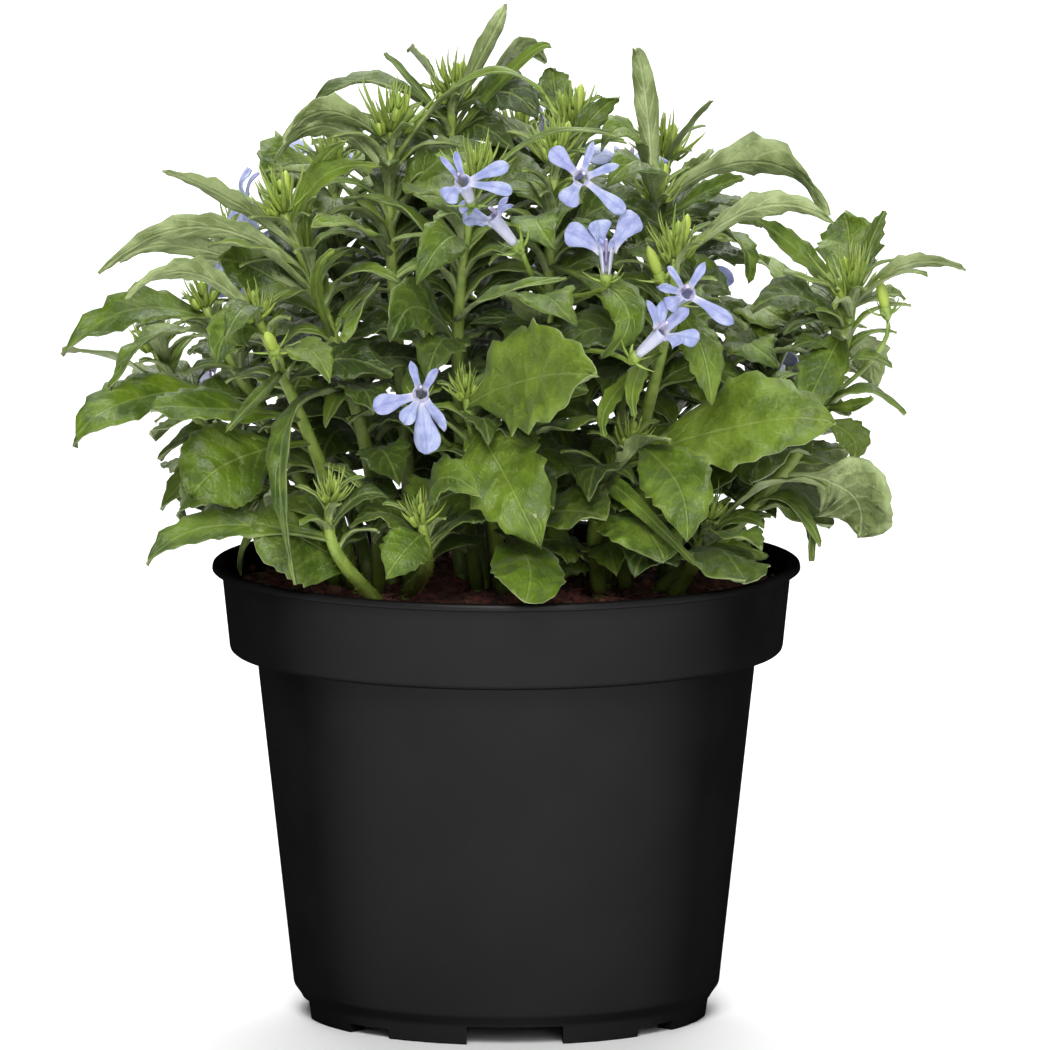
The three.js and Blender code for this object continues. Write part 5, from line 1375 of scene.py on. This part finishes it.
bed_edge = BAND_TOP_RADIUS - WALL_THICKNESS - SOIL_GAP - 0.3
bed_profile = [
    (20, floor_top + SOIL_GAP), (FOOT_TOP_RADIUS - 1.2, floor_top + SOIL_GAP),
    (WALL_TOP_RADIUS - WALL_THICKNESS - SOIL_GAP, ledge_top + SOIL_GAP),
    (BAND_FOOT_RADIUS - WALL_THICKNESS - SOIL_GAP, ledge_top + LEDGE_FALL + SOIL_GAP),
    (bed_edge, SOIL_TOP - 1.2),
]
bed_profile += [(bed_edge - 0.3 - (bed_edge - 1.5) * i / 60, SOIL_TOP) for i in range(61)]
bed = turned_shell("soil_bed", bed_profile, BED_SIDES)
for point in bed.data.vertices:
    x, y, z = point.co / MM
    if z > SOIL_TOP - 0.5:
        fall = 1.2 * max(0, (math.hypot(x, y) - bed_edge + 4) / 4) ** 2
        point.co.z = (peat_height(x, y) - fall) * MM
bed.data.shade_smooth()
finish_shell(bed, peat_finish, "soil")
print("bed faces", len(bed.data.polygons))


# %% Crumbs and fibres
def crumb_blank():
    deselect_all()
    bpy.ops.mesh.primitive_ico_sphere_add(subdivisions=2, radius=1)
    return read_blank(bpy.context.object)


def place_on_peat(draw, edge):
    """A spot within an edge, with as many spots near the rim as near the middle."""
    radius, angle = edge * math.sqrt(next(draw)), 2 * math.pi * next(draw)
    return radius * math.cos(angle), radius * math.sin(angle)


CRUMBS, FIBRES = 1500, 260
crumb_places, crumb_faces = crumb_blank()
draw = draws(77)
crumbs = Cluster()
for _ in range(CRUMBS):
    x, y = place_on_peat(draw, bed_edge - 1)
    size = 0.35 + 1.1 * next(draw) ** 3
    squeeze = vec(0.7 + 0.6 * next(draw), 0.7 + 0.6 * next(draw), 0.55 + 0.3 * next(draw))
    shift = Vector((31 * next(draw), 31 * next(draw), 31 * next(draw)))
    lump = np.array([1 + 0.5 * noise.noise(Vector(p) * 1.3 + shift) for p in crumb_places])
    spot = vec(x, y, peat_height(x, y) + size * 0.25)
    places = spot + crumb_places * squeeze * (size * lump)[:, None]
    crumbs.add(crumb_faces, places, crumb_places, (0.6 * next(draw) ** 4, 0.7 * next(draw), 0, 1))
crumbs.finish("soil_crumbs", peat_finish, "peat", "soil")

fibres = Cluster()
for _ in range(FIBRES):
    x, y = place_on_peat(draw, bed_edge - 3)
    turn, length = 2 * math.pi * next(draw), 2 + 5 * next(draw)
    base = vec(x, y, peat_height(x, y) + 0.1)
    tip = base + vec(math.cos(turn), math.sin(turn), 0.1 + 0.3 * next(draw)) * length
    reach = np.hypot(tip[0], tip[1])
    if reach > bed_edge - 1:
        tip *= (bed_edge - 1) / reach
    tip[2] = max(tip[2], peat_height(tip[0], tip[1]))
    arch = vec(next(draw) - 0.5, next(draw) - 0.5, 0.6 + 0.6 * next(draw)) * 0.4 * length * 0.5
    tone = (0.4 + 0.6 * next(draw), 0, 0)
    path = [base, (base + tip) / 2 + arch, tip]
    grow_shoot(fibres, fibre_blank, path, [(0, 0.13), (0.7, 0.1), (1, 0.03)], tone)
fibres.finish("soil_fibres", peat_finish, "peat", "soil")
print("crumb faces", len(crumbs.faces), "and fibre faces", len(fibres.faces))

# %% [markdown]
# ## Stems, stalks and calyces
# Each stem is a ribbed bar on its Bezier curve. The stalks of flowers and buds leave it as thin
# shoots, and each ends in a calyx: a small cup with five narrow green sepals that spread under the
# corolla.

# %% Stalks
HAIRS_ON_A_STEM, HAIR_FOOT, HAIR_TIP = 220, 0.04, 0.012
SEPALS = 5


def grow_calyx(cluster, start, bend, calyx, along, draw):
    cup = calyx - along * CALYX_LENGTH
    tone = (0.35 * next(draw), 0.5 + 0.5 * next(draw), 0)
    width = [(0, PEDICEL_RADIUS * 1.25), (0.1, PEDICEL_RADIUS), (1, PEDICEL_RADIUS)]
    grow_shoot(cluster, stalk_blank, [start, bend, cup + along * 0.3], width, tone)
    swelling = [(0, 0.45), (0.3, 1.0), (0.7, CALYX_RADIUS), (1, CALYX_RADIUS * 0.85)]
    grow_shoot(cluster, bud_blank, [cup, (cup + calyx) / 2, calyx + along * 0.4], swelling, tone)
    first, second = squares(along)
    for i in range(SEPALS):
        out = around(first, second, math.radians(72 * i + 20))
        base = cup + along * 1.2 + out * 0.9
        middle = base + out * SEPAL_LENGTH * 0.45 + along * 0.6
        tip = base + unit(out * 1.1 + along * (0.5 + 0.5 * next(draw))) * SEPAL_LENGTH
        taper = [(0, 0.4), (0.3, 0.45), (1, 0.05)]
        grow_shoot(cluster, needle_blank, [base, middle, tip], taper, tone, 0.6)


def grow_bud(cluster, base, tip, radius, draw, ripe):
    """A closed flower: fat at the foot, with a blunt tip, yellow-green until it shows its blue."""
    swell = [(0, 0.4), (0.12, 0.8), (0.4, 1.0), (0.75, 0.85), (0.92, 0.5), (1, 0.12)]
    bend = (base + tip) / 2 + vec(next(draw) - 0.5, next(draw) - 0.5, 0) * 0.8
    tone = (ripe, 0.9, 0)
    grow_shoot(cluster, bud_blank, [base, bend, tip], [(s, r * radius) for s, r in swell], tone)


def grow_hair(cluster, handles, draw):
    share = 0.08 + 0.9 * next(draw)
    spot, along = (values[0] for values in curve_points(handles, [share]))
    out = around(*squares(along), 2 * math.pi * next(draw))
    base = spot + out * stem_radius(share) * 0.9
    tip = base + unit(out + along * (next(draw) - 0.5)) * (0.35 + 0.45 * next(draw))
    grow_shoot(cluster, hair_blank, [base, tip], [(0, HAIR_FOOT), (1, HAIR_TIP)], (1, 1, 0))


def grow_stalks(stem, draw):
    cluster = Cluster()
    handles = stem["handles"]
    root = vec(*handles[0])
    foot, top = root - vec(0, 0, ROOT_DEPTH - 0.4), root + vec(0, 0, 0.4)
    tone = (0.25 * next(draw), 0.55 + 0.4 * next(draw), 0)
    width = [(0, 1.4), (1, STEM_FOOT_RADIUS)]
    # painted shade: the root's part in the peat is darkened all along
    grow_shoot(cluster, stalk_blank, [foot, top], width, tone, foot_shade=((0, 1), (1, 1)))
    width = [(0, STEM_FOOT_RADIUS), (1, STEM_TIP_RADIUS)]
    # painted shade along the stem: darkest at the foot and gone by seven tenths of its length
    foot_shade = ((0, 1), (0.3, 0.5), (0.7, 0))
    grow_shoot(cluster, stem_blank, handles, width, tone, ribs=0.09, foot_shade=foot_shade)
    for _ in range(HAIRS_ON_A_STEM):
        grow_hair(cluster, handles, draw)
    for height, bend, calyx, direction, _ in stem["blooms"]:
        grow_calyx(cluster, stem_at(stem, height), bend, vec(*calyx), unit(vec(*direction)), draw)
    for height, bend, bud in stem["buds"]:
        rise = unit(vec(*bud) - vec(*bend) + vec(0, 0, 2))
        grow_calyx(cluster, stem_at(stem, height), bend, vec(*bud) + rise * 1.2, rise, draw)
        grow_bud(cluster, vec(*bud) + rise * 1.0, vec(*bud) + rise * (1 + BUD_LENGTH), 1.2, draw, 0.8)
    return cluster


for number, stem in enumerate(STEMS):
    stem["node"] = f"stem_{number + 1:02d}"
    stalks = grow_stalks(stem, draws(7000 + number))
    stalks.finish(stem["node"] + "_stalk", stem_finish, "greenery", stem["node"])
print("the last stem's stalks have", len(stalks.faces), "faces")

# %% [markdown]
# ## Leaves
# The leaves of one stem, outer and inner, are one piece. A few are blended to a saturated green: in
# the front they are young and fresh, and on the left stems the deeper green is painted shade that
# darkens that side. The table gives (stem, leaf) and how much.

# %% Leaves
# On stems 1 to 3, on the left, this deeper green is painted shade.
FRESH_AND_SHADED_LEAVES = {
    (1, 5): 0.8, (1, 6): 0.6, (2, 0): 0.8, (2, 1): 0.7, (2, 2): 0.9, (3, 0): 0.8, (4, 0): 0.4,
    (4, 1): 0.8, (5, 1): 0.5, (5, 3): 1.0, (6, 0): 0.4, (11, 0): 0.5, (12, 0): 0.4, (14, 2): 0.5,
    (16, 5): 0.5,
}
for number, stem in enumerate(STEMS):
    cluster = Cluster()
    draw = draws(9000 + number)
    for index, leaf in enumerate(stem["grown"]):
        grow_leaf(cluster, leaf, draw, fresh_and_shade=FRESH_AND_SHADED_LEAVES.get((number, index), 0.0))
    for leaf in stem["inner"]:
        # inner leaves draw a low lightness: painted shade of the bush's inside
        grow_leaf(cluster, leaf, draw, leaf["blank"], (0.0, 0.6))
    cluster.finish(stem["node"] + "_leaves", leaf_finish, "greenery", stem["node"])
    stem["leaf_faces"] = len(cluster.faces)
print("faces of leaves", sum(stem["leaf_faces"] for stem in STEMS))

# %% [markdown]
# ## Heads of young leaves
# A shoot ends in a brush. It is made of flower buds that sit close together, each in five needle-like
# sepals that stand around it like a hand's fingers, with a few narrow leaves lying back outside.


# %% Heads
def grow_needle(cluster, base, aim, outward, length, width, draw):
    end = base + unit(aim - outward * 0.12) * length
    bend = base + unit(aim + outward * 0.22) * length * 0.5
    taper = [(0, width * 0.8), (0.3, width), (0.75, width * 0.6), (1, 0.04)]
    tone = (0.05 + 0.4 * next(draw), 0.3 + 0.7 * next(draw), 0.4 * next(draw) ** 6)
    grow_shoot(cluster, needle_blank, [base, bend, end], taper, tone, 0.6)


def grow_budlet(cluster, foot, aim, along, size, draw):
    """One bud of a head, with the five needles that stand around it."""
    length = (2.2 + 1.8 * next(draw)) * (0.5 + 0.5 * size)
    grow_bud(cluster, foot, foot + aim * length, 0.7 + 0.25 * next(draw), draw, 0.3 + 0.5 * next(draw))
    first, second = squares(aim)
    for i in range(SEPALS):
        side = around(first, second, math.radians(72 * i + 50 * next(draw)))
        lean = unit(around(aim, side, math.radians(6 + 20 * next(draw))) + along * 0.1)
        length = NEEDLE_LENGTH * (0.4 + 0.6 * size) * (0.32 + 0.3 * next(draw))
        width = (0.38 + 0.2 * next(draw)) * (0.5 + 0.5 * size)
        grow_needle(cluster, foot + side * 0.6 + aim * 0.3, lean, side, length, width, draw)


def grow_head(cluster, stem, draw):
    along = head_direction(stem)
    first, second = squares(along)
    size, tip = stem["head"], vec(*stem["tip"])
    sites = round(3 + 5 * size)
    for j in range(sites):
        rise = j / (sites - 1)
        tilt = math.radians(36 * (1 - rise) ** 0.8 + 8 * next(draw))
        out = around(first, second, math.radians(GOLDEN_ANGLE * j))
        foot = tip + along * (-2.2 + 6 * rise) * size + out * (0.5 + 2.4 * (1 - rise)) * size
        grow_budlet(cluster, foot, around(along, out, tilt), along, size, draw)
    for i in range(round(3 + 6 * size)):
        out = around(first, second, math.radians(GOLDEN_ANGLE * (i + 0.4)))
        aim = around(along, out, math.radians(36 + 26 * next(draw)))
        length = NEEDLE_LENGTH * size * (0.7 + 0.35 * next(draw))
        base = tip - along * 0.6 + out * 0.5
        grow_needle(cluster, base, aim, out, length, 0.55 + 0.25 * next(draw), draw)
    if size >= 0.8:
        out = around(first, second, math.radians(-60))
        base = tip + along * 1.5 + out * 0.9
        end = base + unit(along + out * 0.3) * BUD_LENGTH * (0.85 + 0.25 * next(draw))
        grow_bud(cluster, base, end, 1.2, draw, 0.95)


def grow_collar(cluster, stem, draw):
    """The youngest leaves that have opened: they stand round the stem below its head and hide it."""
    height = stem["tip"][2]
    for i in range(round(5 + 9 * stem["head"])):
        below = 1.5 + 1.9 * i
        if height - below < SOIL_TOP + 12:
            break
        base = stem_at(stem, height - below)
        out = heading(math.radians(GOLDEN_ANGLE * i + 40 * next(draw)))
        length = (8 + 0.45 * below + 5 * next(draw)) * (0.6 + 0.4 * stem["head"])
        rise = 1.1 - 0.03 * below + 0.3 * next(draw)
        middle = base + unit(out + vec(0, 0, rise + 0.5)) * length * 0.5
        tip = middle + unit(out + vec(0, 0, rise - 0.8)) * length * 0.5
        kind = "linear" if below < 9 or next(draw) < 0.4 else "lance"
        width = (1.3 + 0.1 * below + next(draw)) * (0.8 + 0.4 * (kind == "lance"))
        leaf = make_leaf(kind, width, base, middle, tip, vec(0, -0.2, 1) - out * 0.6)
        grow_leaf(cluster, leaf, draw, "young" if kind == "lance" else "linear", (0.6, 1.0))


for number, stem in enumerate(STEMS):
    cluster = Cluster()
    grow_head(cluster, stem, draws(5000 + number))
    cluster.finish(stem["node"] + "_tip", stem_finish, "greenery", stem["node"])
    cluster = Cluster()
    grow_collar(cluster, stem, draws(6000 + number))
    cluster.finish(stem["node"] + "_collar", leaf_finish, "greenery", stem["node"])
print("heads and collars for", len(STEMS), "stems")

# %% [markdown]
# ## Blooms
# A lobelia's corolla is a tube, split along its back, that opens into two narrow lobes above and
# three broad ones below. The stamens are grown together into one dark curved tube that looks out of
# the split. A young bloom's lobes are given as (turn from the top, length, width). The front blooms
# have aged, and each has folded its lobes in its own way: their rows say how far a lobe's tip stands
# to the right, in front of and above the mouth, and then its width.

# %% Blooms
PETAL_OUTLINE = (
    (0, 0.45), (0.12, 0.38), (0.35, 0.5), (0.55, 0.8), (0.72, 1), (0.85, 0.93), (0.94, 0.66), (1, 0.1))
NARROW_OUTLINE = ((0, 0.9), (0.2, 0.7), (0.5, 0.9), (0.65, 1), (0.85, 0.75), (1, 0.1))
THROAT_RADIUS, PETAL_THICKNESS = 1.25, 0.28
TUBE_ROUND = 150
PLAIN_LOBES = ((24, 7, 2.3), (-24, 7, 2.3), (126, 9, 5.2), (180, 9.6, 5.4), (-126, 9, 5.2))
OWN_LOBES = {
    2: (
        (-2, 1, 6.5, 1.8), (3.3, 1, 4.9, 2), (-9.5, 2, -2.9, 4.2), (-3.4, 3, -6, 3.4),
        (1.2, 3, -12, 6), (5, 1, -7.4, 2.4),
    ),
    3: (
        (-4.3, 0, 4.7, 1.3), (-1.3, 1, 5.8, 1.6), (9.4, 1, 3, 3.2), (10, 3, -2, 3),
        (-3.4, 2, -4, 4.6),
    ),
    8: (
        (-6.3, 1, 2.2, 3), (-5.6, 2, -1, 3.4), (-2.6, 1, -2, 2.6), (4.7, 1, 2, 1.1),
        (3.6, -1, 3.4, 1.2),
    ),
    9: (
        (-6.1, 1, 5.8, 3.9), (2.4, 0, 7.2, 1.8), (7.5, 1, 2.6, 1.9), (-3.2, 2, -5.4, 4.6),
        (8.8, 2, -6.8, 3.3),
    ),
    10: (
        (-8.3, 1, 2.8, 5.2), (-1.8, 0, 5, 4.8), (6.4, 1, 6, 5.4), (-1.6, 2, 1, 1.3),
        (1.6, 2, 1, 1.3),
    ),
    11: (
        (-3.7, 0, 5.9, 1.7), (-1, -1, 5.3, 2.6), (4.3, -2, 4.1, 2.9), (6.9, 1, -2, 3.8),
        (3, 3, -2.6, 3.2),
    ),
    13: (
        (-4.2, 1, 5.1, 1.5), (3.3, 1, 6, 1.9), (-6.4, 2, 1.2, 1.9), (-4.4, 2, -3, 3.6),
        (9.1, 2, -6.1, 3.6),
    ),
}
SHORT_TUBES = {10: 0.75}


def fine_lobe(flower, draw, turn, length, width):
    """A lobe that leaves the rim of the throat, runs on for a moment and bends outwards."""
    along, mouth = flower["along"], flower["mouth"]
    out = around(flower["up"], flower["across"], math.radians(turn))
    base = mouth + out * (THROAT_RADIUS - 0.1) - along * 1.3
    bend = mouth + out * (THROAT_RADIUS + length * 0.3) + along * (1.2 + 0.8 * next(draw))
    tip = mouth + unit(out + along * (-0.02 - 0.3 * next(draw))) * length + out * THROAT_RADIUS
    side = unit(np.cross(out, along) + along * (next(draw) - 0.5) * 0.7)
    return {"width": width, "base": base, "bend": bend, "tip": tip, "side": side}


def folded_lobe(flower, draw, right, front, above, width):
    """A lobe whose tip has a place, and whose face still looks out of the plant."""
    along, mouth = flower["along"], flower["mouth"]
    reach = vec(right, -front, above)
    out = unit(reach - along * np.dot(reach, along) * 0.9)
    base, tip = mouth + out * (THROAT_RADIUS - 0.25) - along * 1.3, mouth + reach
    bend = (base + tip) / 2 + along * (0.9 + 0.8 * next(draw)) + vec(0, -0.6, 0)
    side = unit(np.cross(tip - base, vec(0, -1, 0.25) + 0.25 * along))
    return {"width": width, "base": base, "bend": bend, "tip": tip, "side": side}


def grow_petal(cluster, lobe, outline, draw):
    blank, faces = petal_blank
    s, v, w = blank[:, 1] ** 0.9, blank[:, 0], blank[:, 2]
    across_mm = v * (np.interp(s, *zip(*outline)) * lobe["width"] / 2)
    cup = -0.25 + 0.8 * next(draw)
    beat, turn = 2 * math.pi * next(draw), (next(draw) - 0.5) * 1.1 * s
    lift = -cup * np.abs(across_mm) + 0.5 * np.sin(6 * s + beat + 1.5 * v) * np.abs(v) * s
    lift += 0.35 * np.sin(8 * s + beat) * s - 0.2 * np.exp(-((across_mm / 0.5) ** 2)) * s
    point, across, out = blade_frame(lobe, s)
    side, lid = turned(across, out, turn)
    places = point + side * across_mm[:, None] + lid * (lift + w * PETAL_THICKNESS)[:, None]
    none = np.zeros_like(s)
    tones = np.stack([s, none + 0.25 * next(draw), none, none], axis=1)
    cluster.add(faces, places, np.stack([s, v, across_mm], axis=1), tones)


def grow_tube(cluster, flower):
    """The tube is a sheet that is wrapped round, with its split on the upper side."""
    blank, faces = tube_blank
    s, v, w = blank[:, 1], blank[:, 0], blank[:, 2]
    angle = math.pi + v * math.radians(TUBE_ROUND)
    radius = np.interp(s, (0, 0.25, 0.7, 1), (0.75, 0.95, 1.25, THROAT_RADIUS + 0.3))
    radius = radius + w * PETAL_THICKNESS
    spot = flower["calyx"] + flower["along"] * CALYX_GAP
    ring = np.cos(angle)[:, None] * flower["up"] + np.sin(angle)[:, None] * flower["across"]
    places = spot + flower["along"] * (s * flower["tube"])[:, None] + ring * radius[:, None]
    none = np.zeros_like(s)
    tones = np.stack([0.06 + 0.1 * s, none, np.where(w < 0, 0.42, 0.06) * s, none], axis=1)
    cluster.add(faces, places, np.stack([s * 0.3, v, v * 3], axis=1), tones)


def grow_anther(cluster, flower, ripe):
    up, along, mouth = flower["up"], flower["along"], flower["mouth"]
    end = mouth + along * 1.3 + up * 0.8
    path = [mouth - along * 4.0 + up * 0.2, mouth - along * 0.4 + up * 1.5, end]
    shape = [(0, 0.25), (0.5, 0.3), (0.72, 0.46), (0.93, 0.46), (1, 0.28)]
    grow_shoot(cluster, bud_blank, path, shape, (0.55 * ripe, 0, 0))
    beard, taper = [end - along * 0.2, end + along * 0.35 - up * 0.1], [(0, 0.34), (0.6, 0.3), (1, 0.12)]
    grow_shoot(cluster, stalk_blank, beard, taper, (0.6 + 0.4 * ripe, 0, 0))


rows = [row for stem in STEMS for row in stem["blooms"]]
for number, row in enumerate(rows, 1):
    node = f"bloom_{number:02d}"
    draw = draws(400 + number)
    flower = bloom_frame(row)
    flower["tube"] = SHORT_TUBES.get(number, 1) * (TUBE_LENGTH - 0.6)
    flower["mouth"] = flower["mouth"] - flower["along"] * (TUBE_LENGTH - 0.6 - flower["tube"])
    make_lobe = folded_lobe if number in OWN_LOBES else fine_lobe
    corolla, anther = Cluster(), Cluster()
    for lobe in OWN_LOBES.get(number, PLAIN_LOBES):
        outline = NARROW_OUTLINE if lobe[-1] < 3 else PETAL_OUTLINE
        grow_petal(corolla, make_lobe(flower, draw, *lobe), outline, draw)
    grow_tube(corolla, flower)
    grow_anther(anther, flower, next(draw))
    corolla.finish(node + "_corolla", petal_finish, "petals", node)
    anther.finish(node + "_anther", anther_finish, "petals", node)
print("blooms", len(rows))

# %% Finish
new_low, new_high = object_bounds()
grown = [round(v / MM, 1) for v in (*(cad_low - new_low), *(new_high - cad_high))]
print("box grew by", grown[:3], grown[3:])
shown = [thing for thing in bpy.data.objects if thing.type == "MESH" and not thing.hide_render]
print("triangles", sum(len(face.vertices) - 2 for thing in shown for face in thing.data.polygons))
